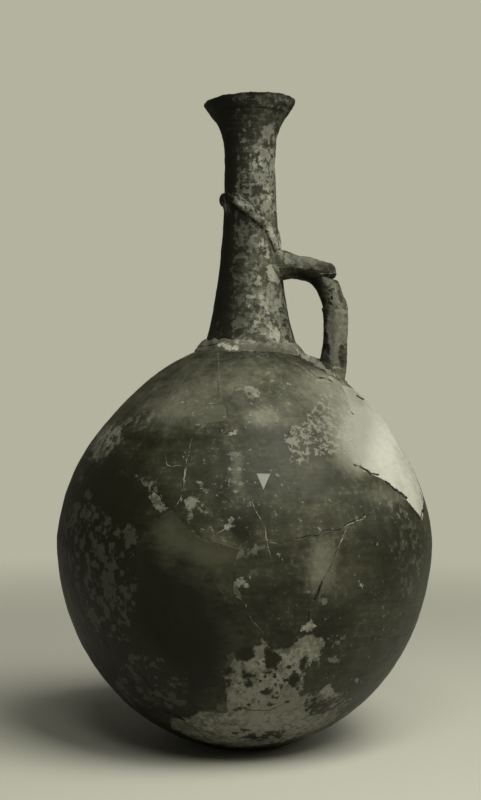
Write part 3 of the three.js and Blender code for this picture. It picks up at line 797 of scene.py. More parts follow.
BELLY_MARKS = (
    Zone("left_mottle", BARE, (
        68, 500, 92, 505, 112, 520, 136, 528, 136, 545, 130, 570, 134, 600, 128, 640, 104, 640, 84, 610,
        66, 560, 61, 530,
    ), ragged=1.5, cover=0.32, grain=4.4, share=0.42),
    Zone("left_blotch", BARE, (94, 543, 103, 546, 108, 560, 98, 562), cover=0.7, share=0.45),
    Zone("left_blotch_low", BARE, (124, 577, 137, 578, 138, 592, 126, 591), cover=0.6, share=0.35),
    Spot("left_fleck", BARE, 89, 515, 2.6, 5, 20, share=0.55),
    Spot("left_fleck_side", BARE, 76, 518, 1.8, 5, -10, share=0.5),
    Zone("fill_corner", BARE, (112, 527, 125, 529, 137, 534, 124, 541), cover=0.5, share=0.25),
    Zone("middle_chip", CRUST, (225, 530, 227, 522, 231, 517, 234, 519, 232, 527, 228, 532),
         ragged=0.5, share=0.75),
    Zone("middle_smear", BARE, (236, 552, 246, 549, 266, 545, 268, 549, 250, 555, 238, 559),
         cover=0.55, share=0.35),
    Zone("middle_patch", CRUST, (234, 583, 240, 577, 249, 576, 251, 583, 244, 588, 237, 588),
         cover=0.75, share=0.7),
    Spot("right_fleck", CRUST, 361, 586, 1.2, 2.4),
    Spot("right_fleck_high", CRUST, 376, 544, 1.2, 1.2, share=0.7),
    Spot("crack_fleck", BARE, 324, 600, 1.8, 4, -10, share=0.6),
    Zone("right_edge_mottle", BARE, (400, 520, 416, 525, 421, 560, 414, 600, 402, 596, 400, 560),
         cover=0.26, grain=3.4, share=0.22),
    Zone("right_rim_mottle", BARE, (386, 496, 400, 505, 418, 528, 404, 530, 388, 512),
         cover=0.42, share=0.3),
    Zone("belly_flecks", CRUST, (280, 480, 400, 510, 405, 620, 340, 690, 270, 620, 275, 540),
         cover=0.008, grain=1.6, share=0.5),
    Zone("fill_scrapes", BARE, (218, 585, 236, 580, 246, 612, 228, 622), cover=0.22, grain=4.0, share=0.3),
)

LOWER_MARKS = (
    Zone("flaked_zone", BARE, (
        262, 640, 268, 647, 280, 650, 290, 648, 298, 643, 307, 636, 323, 637, 328, 640, 321, 650, 318, 663,
        309, 664, 304, 672, 302, 687, 298, 693, 302, 697, 315, 695, 323, 687, 333, 687, 336, 695, 327, 700,
        313, 705, 312, 714, 330, 716, 347, 711, 333, 723, 310, 733, 288, 740, 264, 748, 246, 753, 222, 751,
        206, 744, 188, 737, 172, 727, 171, 720, 189, 718, 199, 712, 218, 710, 226, 702, 226, 687, 221, 673,
        227, 663, 234, 650, 238, 659, 248, 659, 253, 651,
    ), ragged=1.8, share=0.95),
    Zone("flaked_crust", CRUST, (
        232, 690, 262, 660, 300, 650, 318, 642, 316, 660, 296, 676, 262, 712, 300, 716, 230, 740, 200, 728,
    ), cover=0.5, grain=4.6, share=0.75),
    Zone("bottom_crust", CRUST, (178, 722, 230, 714, 300, 712, 336, 716, 300, 736, 250, 751, 215, 747),
         cover=0.42, grain=4.0, share=0.7),
    Zone("dark_island", STAIN, (264, 647, 274, 650, 280, 660, 276, 669, 266, 667), ragged=1.6),
    Zone("dark_notch", STAIN, (236, 648, 250, 649, 254, 655, 247, 661, 238, 659), ragged=1.4),
    Spot("dark_left", STAIN, 228, 670, 6, 3.4, -10, 1.4),
    Spot("dark_left_low", STAIN, 227, 681, 4, 2.6, 0, 1.2),
    Spot("dark_small_high", STAIN, 249, 675, 3.6, 1.8, 0, 1.0),
    Spot("dark_small_middle", STAIN, 250, 683, 3, 2.2, 0, 1.2),
    Spot("dark_small_low", STAIN, 266, 692, 4.6, 2.6, 0, 1.4),
    Spot("dark_right", STAIN, 293, 681, 6, 6.5, 20, 2.0),
    Spot("dark_right_high", STAIN, 304, 663, 2.6, 8, 10, 1.2),
    Zone("flake_pits", STAIN, (225, 665, 300, 655, 305, 700, 228, 712), cover=0.06, grain=3.0),
    Zone("bottom_chips", STAIN, (232, 729, 262, 733, 288, 729, 286, 737, 258, 741, 234, 736), cover=0.36),
    Zone("bottom_pits", STAIN, (305, 697, 332, 698, 330, 712, 306, 716), cover=0.45, grain=2.6),
    Zone("upper_islet", CRUST, (300, 631, 305, 625, 311, 620, 315, 626, 309, 632), ragged=0.9),
    Zone("quad_patch", CRUST, (320, 690, 327, 686, 334, 688, 336, 695, 329, 700, 323, 697), cover=0.85),
    Spot("right_islet", CRUST, 357, 681, 3.2, 2.6, 30, 1.4, share=0.7),
    Spot("right_islet_high", BARE, 334, 659, 4, 3, 0, 1.4, share=0.6),
    Spot("right_stroke", BARE, 339, 641.5, 6, 1.2, -40, share=0.5),
    Zone("bottom_mottle", BARE, (305, 700, 345, 690, 352, 700, 330, 724, 300, 732),
         cover=0.5, grain=3.6, share=0.8),
    Zone("lower_left_mottle", BARE, (
        126, 655, 163, 657, 168, 669, 187, 679, 189, 695, 187, 711, 159, 707, 130, 703, 112, 690,
    ), cover=0.26, grain=5.0, share=0.4),
)

NECK_MARKS = (
    Zone("rim_mottle", BARE, (232, 96, 290, 95, 286, 110, 236, 112), cover=0.14, grain=3.4, share=0.5),
    Zone("flare_ring", BARE, (243, 126, 249, 119, 258, 120, 262, 130, 255, 138, 245, 136),
         cover=0.45, share=0.55),
    Zone("flare_pale", BARE, (263, 126, 276, 121, 277, 143, 266, 146, 262, 137), cover=0.8, share=0.7),
    Spot("flare_nick", STAIN, 258, 133, 1.6, 3),
    Zone("flare_scab", STAIN, (264, 139, 271, 138, 275, 145, 265, 147), cover=0.6, grain=2.4),
    Zone("stem_pale", BARE, (256, 166, 260, 152, 270, 146, 279, 148, 280, 180, 266, 181, 252, 173),
         cover=0.74, grain=3.2, share=0.75, bite=1.4),
    Zone("stem_crust", CRUST, (247, 149, 258, 150, 262, 164, 252, 174, 244, 170),
         cover=0.36, grain=3.0, share=0.55),
    Zone("stem_mottle", BARE, (238, 172, 276, 178, 280, 216, 262, 210, 238, 196),
         cover=0.42, grain=3.4, share=0.7),
    Zone("stem_scab", STAIN, (246, 186, 262, 184, 266, 194, 250, 196), cover=0.5, grain=3.0),
    Zone("stem_low_pale", CRUST, (259, 192, 268, 188, 274, 198, 262, 206), cover=0.4, grain=2.6, share=0.8),
    Zone("band_pale", BARE, (
        232, 195, 250, 204, 267, 220, 279, 236, 286, 250, 281, 253, 272, 240, 261, 229, 246, 214, 231, 202,
    ), cover=0.8, grain=3.0, share=0.85),
    Zone("band_crust", CRUST, (233, 197, 250, 206, 268, 223, 282, 248, 270, 236, 246, 211), cover=0.5),
    Zone("below_band_patch", CRUST, (257, 243, 263, 240, 269, 249, 269, 258, 261, 255),
         cover=0.7, grain=2.6, share=0.7),
    Zone("below_band_speck", BARE, (236, 233, 243, 232, 245, 246, 236, 247),
         cover=0.5, grain=2.6, share=0.45),
    # Painted shade in the hollow beside the knob, drawn as a dark stain.
    Spot("knob_hollow_shade", STAIN, 231.5, 199.6, 3.4, 2.6, 20),
    Zone("knob_tail", BARE, (222, 203, 229, 203, 230, 210, 227, 216, 224, 210), cover=0.85, share=0.45),
    Spot("oval_ring", CRUST, 273.6, 273.7, 7, 9.5, -10, 1.2, 0.75),
    Zone("left_specks", BARE, (230, 262, 246, 264, 246, 292, 232, 290), cover=0.36, grain=3.4, share=0.4),
    Spot("middle_speck", CRUST, 258, 281, 3.6, 4.6, 0, 1.8, share=0.7),
    Zone("lower_pale", BARE, (258, 291, 284, 291, 285, 312, 270, 312, 260, 303),
         cover=0.74, grain=3.4, share=0.7, bite=1.4),
    Zone("lower_crust", CRUST, (244, 296, 262, 292, 270, 310, 274, 336, 254, 332),
         cover=0.3, grain=3.0, share=0.6),
    Zone("lower_left_pale", BARE, (236, 294, 256, 294, 258, 318, 238, 318),
         cover=0.4, grain=3.4, share=0.45),
    Zone("foot_mottle", BARE, (230, 318, 284, 312, 294, 342, 236, 343), cover=0.5, grain=3.6, share=0.6),
    Zone("foot_bright", CRUST, (268, 330, 277, 328, 282, 336, 278, 341, 270, 338), cover=0.75, grain=2.6),
    Zone("neck_flecks", BARE, (240, 130, 280, 130, 286, 335, 230, 335), cover=0.2, grain=4.0, share=0.45),
    Zone("arm_mottle", BARE, (286, 250, 306, 257, 326, 262, 326, 270, 304, 268, 286, 262),
         cover=0.6, share=0.6),
    # Painted shade in the hole at the arm's end, drawn as a dark stain over a real pit.
    Spot("arm_end_hole", STAIN, 331.6, 267, 4.2, 2.7, 30),
    Zone("bend_pale", BARE, (322, 276, 337, 275, 343, 288, 334, 292, 326, 286), cover=0.75, share=0.6),
    Zone("bend_scab", STAIN, (329, 290, 342, 288, 346, 306, 336, 307, 328, 304), cover=0.62, grain=3.0),
    Zone("strap_pale", BARE, (330, 307, 346, 306, 348, 340, 345, 350, 340, 368, 331, 366, 328, 346),
         ragged=1.6, share=0.7),
    Zone("collar_streak", CRUST, (217, 343.6, 224, 343.8, 239, 346.6, 239.4, 350, 229, 349, 217.6, 346.4),
         ragged=0.5, share=0.8),
    Zone("collar_sliver", CRUST, (243, 349, 256, 351.6, 268, 353.6, 268, 355.4, 253, 353.8, 243, 351),
         ragged=0.5, share=0.35),
    Zone("collar_right", CRUST, (296, 348, 305, 348.4, 311, 354, 306, 359, 298, 354),
         cover=0.5, grain=2.6, share=0.5),
    Spot("root_bit", CRUST, 329, 379.4, 3.6, 2.6, 20, 1.0, 0.9),
    Spot("root_bit_high", CRUST, 335.6, 367.6, 2.0, 2.2, 0, 0.9, 0.6),
    Spot("root_bit_right", CRUST, 338.4, 376, 3.4, 1.8, 30, 1.0, 0.6),
    Zone("strap_chip", STAIN, (321, 345, 329, 344, 329, 355, 322, 356), cover=0.8),
    Zone("strap_chip_low", STAIN, (340, 347, 345, 346, 343, 366, 339, 367), cover=0.85),
)

JOINT_LINES = (
    Line("neck_joint_line", PALE, (218, 348, 218.4, 375, 218, 403), 0.22),
    Line("plug_top", PALE, (198, 403.6, 216, 403.6), 0.15),
    Line("long_joint", PALE, (
        207, 422, 195, 434, 190.5, 441, 189.5, 451, 186, 466, 183.5, 477, 183.5, 485, 181.8, 494, 179, 503,
        176, 507,
    ), 0.28),
    Line("long_joint_thick", PALE, (186, 468, 183.5, 478, 183.5, 486), 0.8),
    Line("hook_scratch", PALE, (164, 454, 167, 465, 171, 468, 182, 466), 0.25),
    Line("leaf_scratch", PALE, (162, 471, 158.5, 477, 156, 484), 0.22),
    Line("leaf_crack", DARK, (151, 488, 160, 496, 163, 503), 0.4),
    Line("chip_line", PALE, (228, 528, 224, 531, 217, 534.6), 0.4),
    Line("long_scratch", PALE, (252, 499, 255, 508, 261, 521, 266, 530, 268.4, 546, 272, 558), 0.38),
    Line("short_scratch", PALE, (249, 531, 253, 542), 0.15),
    Line("cross_scratch", PALE, (266, 543.5, 279, 543), 0.22),
    Line("hairline", PALE, (299.6, 492, 301.4, 508, 298, 521), 0.12),
    Line("fill_edge", PALE, (235, 596, 241, 600, 246.4, 606, 251.5, 620, 263, 634), 0.24),
    Line("cross_crack", DARK, (
        295, 538.4, 303, 537, 312, 535, 317.5, 536, 324, 529.5, 340, 529, 353, 523, 366, 515,
    ), 0.26),
    Line("cross_crack_fill", PALE, (344, 528, 353, 524.4, 366, 517), 0.5),
    Line("cross_crack_end", PALE, (366, 515, 376, 508, 385, 500), 0.15),
    Line("down_crack_fill", PALE, (346, 531, 341.5, 539, 338, 548), 0.45),
    Line("down_crack", DARK, (338, 548, 333.6, 560, 326, 576.5, 321, 586, 315, 600), 0.45),
    Line("down_crack_wide", DARK, (323, 581, 318.5, 591, 315, 600), 0.9),
    Line("down_crack_end", DARK, (310.5, 612, 308.6, 621), 0.3),
    # Painted shadow under a flake's edge, drawn as a dark line over a real groove.
    Line("flake_edge_shadow", DARK, (236, 707, 250, 710.5, 268, 710, 281, 706.5, 287, 702), 0.25),
    Line("base_crack", DARK, (165, 712, 179, 718, 190, 725, 198, 732, 209, 741), 0.5),
    Line("left_low_crack", DARK, (143, 675, 149, 684, 153, 690), 0.4),
    Line("fill_gap_low", DARK, (356, 466, 366, 469, 372, 474, 379, 475), 0.9),
    Line("fill_gap_middle", DARK, (387.5, 481.5, 397, 490, 408, 498), 1.0),
    Line("fill_gap_tip", DARK, (412, 506, 417, 512, 420, 519), 1.0),
    Line("fill_gap_side", DARK, (421, 489, 423, 503, 421.5, 519), 0.6),
    Line("fill_gap_top", DARK, (355.4, 396.6, 361, 399.6), 1.0),
    Line("fill_gap_left", DARK, (348.4, 408, 351.4, 413.6), 0.6),
    Line("root_crack", DARK, (307, 368, 315, 377, 330, 382), 0.5),
    Line("arm_joint", PALE, (321, 274, 336, 273.7), 0.7),
    # Painted shadow under the near lip, drawn as a dark line.
    Line("lip_shadow_line", DARK, (206, 110, 225, 113, 250, 114, 275, 112, 291, 108), 0.2),
    Line("knob_ridge", PALE, (221, 194, 226, 192.6, 231, 195), 0.5),
    Line("root_fold", DARK, (323, 361, 329, 363, 334, 366), 0.5),
    Line("collar_crack", DARK, (198, 347, 210, 346, 219, 344), 0.5),
)

# Lighter and darker areas at pixels; those marked below are painted light and shade.
TONES_AND_SHADING = (
    Glow("fill_light_left", 166, 542, 26, 22, 0.34),
    Glow("fill_light_right", 214, 549, 24, 15, 0.8),
    Glow("fill_dark", 166, 636, 64, 54, -0.55),
    # Painted shade in the hollow beside the hook chip's crust.
    Glow("beside_crust_dark", 235, 404, 8, 9, -1.1),
    # Painted light on the body's lit centre.
    Glow("centre_light", 280, 490, 50, 60, 0.2),
    # Painted shade in the hollows by the middle chip and the hook chip.
    Glow("middle_hollow", 240, 529, 11, 12, -0.5),
    Glow("hook_hollow", 238, 402, 8, 8, -0.35),
    # Painted shade on the body's left side, away from the light.
    Glow("left_dark", 88, 560, 48, 100, -1.4),
    Glow("fill_top_dull", 354, 396, 16, 14, -1.5),
    # Painted highlight on the plaster fill's core.
    Glow("fill_core_light", 388, 452, 12, 34, 0.5),
    # Painted shade where the plaster fill turns away from the light at its right edge.
    Glow("fill_edge_high", 386, 408, 9, 15, -0.8),
    Glow("fill_edge_middle", 406, 438, 7, 18, -0.8),
    Glow("fill_edge_low", 420, 468, 6, 18, -0.8),
    Glow("collar_middle_dull", 262, 351, 26, 5, -0.8),
    # Painted light on the relief band's lit face.
    Glow("band_light", 240, 203, 10, 8, 0.7),
    # Painted shadow under the relief band.
    Glow("below_band_dark", 243, 221, 18, 12, -0.7),
    # Painted shade low on the body's left.
    Glow("left_low_dark", 130, 655, 54, 62, -1.4),
    Glow("flaked_light", 264, 700, 50, 46, 0.2),
    Glow("left_patch_light", 104, 442, 22, 22, 0.3),
    Glow("right_dark", 392, 560, 22, 50, -0.3),
    Glow("middle_dark", 268, 600, 26, 26, -0.1),
    # Painted shade on the neck's left, partly darker slip.
    Glow("neck_left_dark", 220, 230, 19, 130, -1.1),
    # Painted light on the neck's lit right, partly lighter slip.
    Glow("neck_right_light", 272, 230, 15, 120, 0.3),
    # Painted shade on the rim's left and on the handle's inner face.
    Glow("rim_dark", 226, 104, 30, 9, -0.2),
    Glow("inner_handle_dark", 312, 288, 13, 28, -0.6),
)

# Paler veils at pixels: painted glare and painted light on lit faces where marked, softened edges of the
# plaster fill, and paler areas below the fill and round the handle's root.
VEILS_AND_PAINTED_LIGHT = (
    Glow("soft_left_edge", 355, 430, 20, 33, 2.3),
    Glow("soft_top_edge", 340, 394, 20, 14, 0.7),
    Glow("soft_low_edge", 361, 462, 8, 10, 0.9),
    # Painted glare of the lamps on the burnished slip.
    Glow("front_glare", 237, 472, 8, 28, 0.6),
    Glow("shoulder_glare", 262, 417, 19, 12, 0.7),
    # Painted light on the lit upper right of the shoulder.
    Glow("right_shoulder_light", 312, 408, 34, 34, 0.34),
    # Painted glare on the belly's middle.
    Glow("middle_glare", 321, 565, 19, 32, 0.75),
    # Painted light on the lit top and left of the shoulder.
    Glow("upper_shoulder_light", 238, 378, 66, 30, 0.48),
    Glow("left_shoulder_light", 176, 410, 50, 24, 0.55),
    Glow("below_fill_haze", 388, 496, 26, 12, 0.5),
    Glow("root_haze", 322, 380, 26, 14, 0.5),
    # Painted light on the handle's lit strap front and arm top.
    Glow("strap_front_light", 338, 322, 10, 36, 0.7),
    Glow("arm_top_light", 308, 258, 26, 8, 0.7),
)


@dataclass(frozen=True)
class MarkSet:
    """All marks of the photograph, with guessed ones where the camera does not see, and its painted light,
    shade and glare.
    """

    view: PhotoView
    worn: tuple[Spot | Zone, ...]
    lines: tuple[Line, ...]
    tones_and_shading: tuple[Glow, ...]
    veils_and_painted_light: tuple[Glow, ...]
    limit: float = 3.0
    margin: float = 7.0
    wander: float = 1.4
    wander_size: float = 9.0
    wander_shifts: tuple[float, float] = (0.0, 300.0)
    cluster_size: float = 62.0
    flake_size: float = 9.0
    crumb_size: float = 5.0
    unseen_tone: float = 0.3
    unseen_size: float = 80.0
    unseen_shift: float = 400.0
    guessed_share: float = 0.45
    ragged_size: float = 3.6
    line_limit: float = 0.3
    ragged_grain: Grain = Grain(11)
    speckle_grain: Grain = Grain(12)
    cluster_grain: Grain = Grain(13)
    flake_grain: Grain = Grain(14)
    wander_grain: Grain = Grain(15)

    def near(self, box: Box, pixels: Array) -> Array:
        """Rows of the pixels that lie in a box with a margin round it."""
        low, high = np.array(box[::2]) - self.margin, np.array(box[1::2]) + self.margin
        return np.flatnonzero(np.all((pixels > low) & (pixels < high), axis=1))

    def wandering(self, points: Array) -> Array:
        """Pixels of places, shaken a little so that drawn edges and lines come out uneven."""
        shake = [self.wander_grain.layered(points + by, self.wander_size) for by in self.wander_shifts]
        return self.view.pixels(points) + self.wander * np.stack(shake, axis=1)

    def line_distance(self, points: Array) -> Array:
        """Distance of places from the nearest drawn line, in millimetres at the jug.

        Args:
            points: Places in millimetres.

        Returns:
            Distances, large where no line is near.
        """
        pixels = self.wandering(points)
        near = np.full(len(points), FAR)
        for line in self.lines:
            rows = self.near(line.box(), pixels)
            away = np.maximum(-line.depth(pixels[rows]), 0.0) * self.view.scale
            near[rows] = np.minimum(near[rows], away)
        return near

    def guessed(self, points: Array, trace: Trace, wear: float) -> Array:
        """Depth of guessed marks in millimetres, from clustered noise.

        Args:
            points: Places in millimetres.
            trace: What the marks are made of.
            wear: How worn the piece is, from 0 to 1.

        Returns:
            Depths, negative outside the marks.
        """
        cluster = self.cluster_grain.layered(points, self.cluster_size, 2)
        if trace is Trace.BARE:
            flake = self.flake_grain.layered(points * np.array([1.0, 1.0, 1.25]), self.flake_size, 3)
            return 3.2 * (flake + 0.95 * cluster - 1.05 + 0.7 * wear)
        if trace is Trace.CRUST:
            crumb = self.speckle_grain.layered(points, self.crumb_size, 2)
            return 3.0 * (crumb + 0.8 * cluster - 1.12 + 0.4 * wear)
        return np.full(len(points), -self.limit)

    def drawn(self, points: Array, pixels: Array, rough: Array, kind: Enum) -> tuple[Array, Array]:
        """Depth of the photograph's marks of one kind in millimetres, and how strongly they show.

        Args:
            points: Places in millimetres.
            pixels: Their columns and rows.
            rough: Noise that breaks up the marks' edges.
            kind: Sort of mark.

        Returns:
            Depths, negative outside the marks, and shares from 0 to 1.
        """
        deepest, share = np.full(len(points), -self.limit), np.ones(len(points))
        for mark in self.worn + self.lines:
            rows = self.near(mark.box(), pixels) if mark.kind is kind else ()
            if len(rows) == 0:
                continue
            depth = mark.depth(pixels[rows], rough[rows]) * self.view.scale
            if mark.cover < 1.0:
                speck = self.speckle_grain.layered(points[rows], mark.grain, 2)
                depth = np.minimum(depth, mark.broken(speck))
            share[rows] = np.where(depth > deepest[rows], mark.share, share[rows])
            deepest[rows] = np.maximum(deepest[rows], depth)
        return deepest, share

    def fields(self, points: Array, normals: Array, wear: float) -> dict[str, Array]:
        """Depths of all marks at places of a surface, in millimetres.

        Args:
            points: Places in millimetres.
            normals: Outward directions there.
            wear: How worn the unseen side of the piece is, from 0 to 1.

        Returns:
            One row of numbers for each trace and line kind, the tone with painted light and shade, and the
            veil with painted light and glare.
        """
        pixels = self.wandering(points)
        seen = self.view.seen(points, normals)
        found: dict[str, Array] = {}
        rough = self.ragged_grain.layered(points, self.ragged_size, 3)
        for trace in Trace:
            depth, share = self.drawn(points, pixels, rough, trace)
            blended = seen * depth + (1.0 - seen) * self.guessed(points, trace, wear)
            found[trace.value] = np.clip(blended, -self.limit, self.limit)
            found[f"{trace.value}_share"] = seen * share + (1.0 - seen) * self.guessed_share
        for kind in LineKind:
            depth, _ = self.drawn(points, pixels, rough, kind)
            found[kind.value] = np.where(seen > self.line_limit, depth, -self.limit)
        # Tone: painted light and shade of the glows where the camera sees, a random tone where it does not.
        unseen = self.unseen_tone * self.cluster_grain.smooth(points + self.unseen_shift, self.unseen_size)
        found["tone_and_shading"] = seen * sum(glow.level(pixels) for glow in self.tones_and_shading) + (1.0 - seen) * unseen
        # Veil: painted light and glare and the fill's softened edges, where the camera sees.
        found["veil_and_painted_light"] = seen * sum(glow.level(pixels) for glow in self.veils_and_painted_light)
        for trace in (Trace.BARE, Trace.CRUST):
            found[trace.value] = np.minimum(found[trace.value], -found[Trace.STAIN.value])
        return found


COLOUR_A, COLOUR_B, COLOUR_OUT = 6, 7, 2
BUMP_STRENGTH = 0.8


class Bench:
    """Shader nodes of one material, with short calls for the ones used here."""

    def __init__(self, name: str) -> None:
        """Start a material.

        Args:
            name: Name of the material.
        """
        self.material = bpy.data.materials.new(name)
        self.material.use_nodes = True
        self.tree = self.material.node_tree
        self.shader = self.tree.nodes["Principled BSDF"]
        self.place = self.add("TexCoord", {}, "Object")

    def feed(self, socket: Socket, value: Value) -> None:
        """Link a socket to an output, or set its number.

        Args:
            socket: Input of a node.
            value: Output to link, or number to set.
        """
        if isinstance(value, Socket):
            self.tree.links.new(value, socket)
        else:
            socket.default_value = value

    def add(self, kind: str, inputs: dict[str | int, Value], output: str | int, **settings: str) -> Socket:
        """Add a node.

        Args:
            kind: Type of the node, without the start that all types share.
            inputs: Numbers or outputs for its input sockets.
            output: Which of its outputs is wanted.
            settings: Options of the node.

        Returns:
            The wanted output.
        """
        node = self.tree.nodes.new(f"ShaderNode{kind}")
        for key, value in settings.items():
            setattr(node, key, value)
        for key, value in inputs.items():
            self.feed(node.inputs[key], value)
        return node.outputs[output]

    def attribute(self, name: str) -> Socket:
        """Number kept at the corners of the mesh."""
        return self.add("Attribute", {}, "Fac", attribute_name=name)

    def stretched(self, stretch: tuple[float, float, float]) -> Socket:
        """Place on the object with its axes stretched."""
        return self.add("Mapping", {"Scale": stretch, "Vector": self.place}, "Vector")

    def noise(self, size: float, detail: float, rough: float = 0.55, flat: float = 1.0) -> Socket:
        """Noise between 0 and 1.

        Args:
            size: Width of a bump in millimetres.
            detail: How many finer layers are added.
            rough: How strong the finer layers are.
            flat: How many times as wide as high a bump is.

        Returns:
            The noise output.
        """
        place = self.place if flat == 1.0 else self.stretched((1.0, 1.0, flat))
        inputs = {"Scale": 1.0 / (size * MM), "Detail": detail, "Roughness": rough, "Vector": place}
        return self.add("TexNoise", inputs, "Fac")

    def cells(self, size: float) -> Socket:
        """Distance in cells from the nearest of points scattered at a spacing in millimetres."""
        return self.add("TexVoronoi", {"Scale": 1.0 / (size * MM), "Vector": self.place}, "Distance")

    def math(self, operation: str, first: Value, second: Value) -> Socket:
        """Sum, product or larger one of two numbers."""
        return self.add("Math", {0: first, 1: second}, 0, operation=operation)

    def weighted(self, *terms: tuple[Socket, float], start: float = 0.0) -> Socket:
        """Sum of outputs, each times its weight.

        Args:
            terms: Outputs and their weights.
            start: Number that the sum starts from.

        Returns:
            The sum's output.
        """
        total = start
        for output, weight in terms:
            total = self.add("Math", {0: output, 1: weight, 2: total}, 0, operation="MULTIPLY_ADD")
        return total

    def ease(self, value: Value, low: float, high: float, start: float = 0.0, end: float = 1.0) -> Socket:
        """Number eased from start to end as the value goes from low to high."""
        inputs = {"Value": value, "From Min": low, "From Max": high, "To Min": start, "To Max": end}
        return self.add("MapRange", inputs, "Result", interpolation_type="SMOOTHSTEP")

    def shown(self, mark: str, ragged: Socket, soft: float) -> Socket:
        """Share of a mark that shows, broken up at an edge that fades over a soft depth to each side."""
        inside = self.ease(self.weighted((self.attribute(mark), 0.6), (ragged, 1.0)), -soft, soft)
        return self.math("MULTIPLY", inside, self.attribute(f"{mark}_share"))

    def line(self, kind: LineKind, thin: Socket, low: float, high: float, most: float = 1.0) -> Socket:
        """Share of a drawn line that shows, uneven by a thin noise."""
        return self.ease(self.math("ADD", self.attribute(kind.value), thin), low, high, 0.0, most)

    def mix(self, share: Value, first: Value, second: Value, most: float = 1.0) -> Socket:
        """Colour between two colours.

        Args:
            share: Share of the second colour.
            first: First colour or output.
            second: Second colour or output.
            most: Factor on the share.

        Returns:
            The mixed colour output.
        """
        if most < 1.0:
            share = self.math("MULTIPLY", share, most)
        inputs = {"Factor": share, COLOUR_A: first, COLOUR_B: second}
        for key, colour in inputs.items():
            if isinstance(colour, tuple):
                inputs[key] = (*colour, 1.0)
        return self.add("Mix", inputs, COLOUR_OUT, data_type="RGBA")

    def finished(self, colour: Socket, rough: Socket, sheen: float, height: Socket) -> Material:
        """Feed the shader.

        Args:
            colour: Colour of the surface.
            rough: Its roughness.
            sheen: Strength of its shine.
            height: Its fine relief in millimetres.

        Returns:
            The finished material.
        """
        bump = {"Distance": MM, "Strength": BUMP_STRENGTH, "Height": height}
        for key, value in (("Base Color", colour), ("Roughness", rough), ("Specular IOR Level", sheen),
                           ("Normal", self.add("Bump", bump, "Normal"))):
            self.feed(self.shader.inputs[key], value)
        return self.material


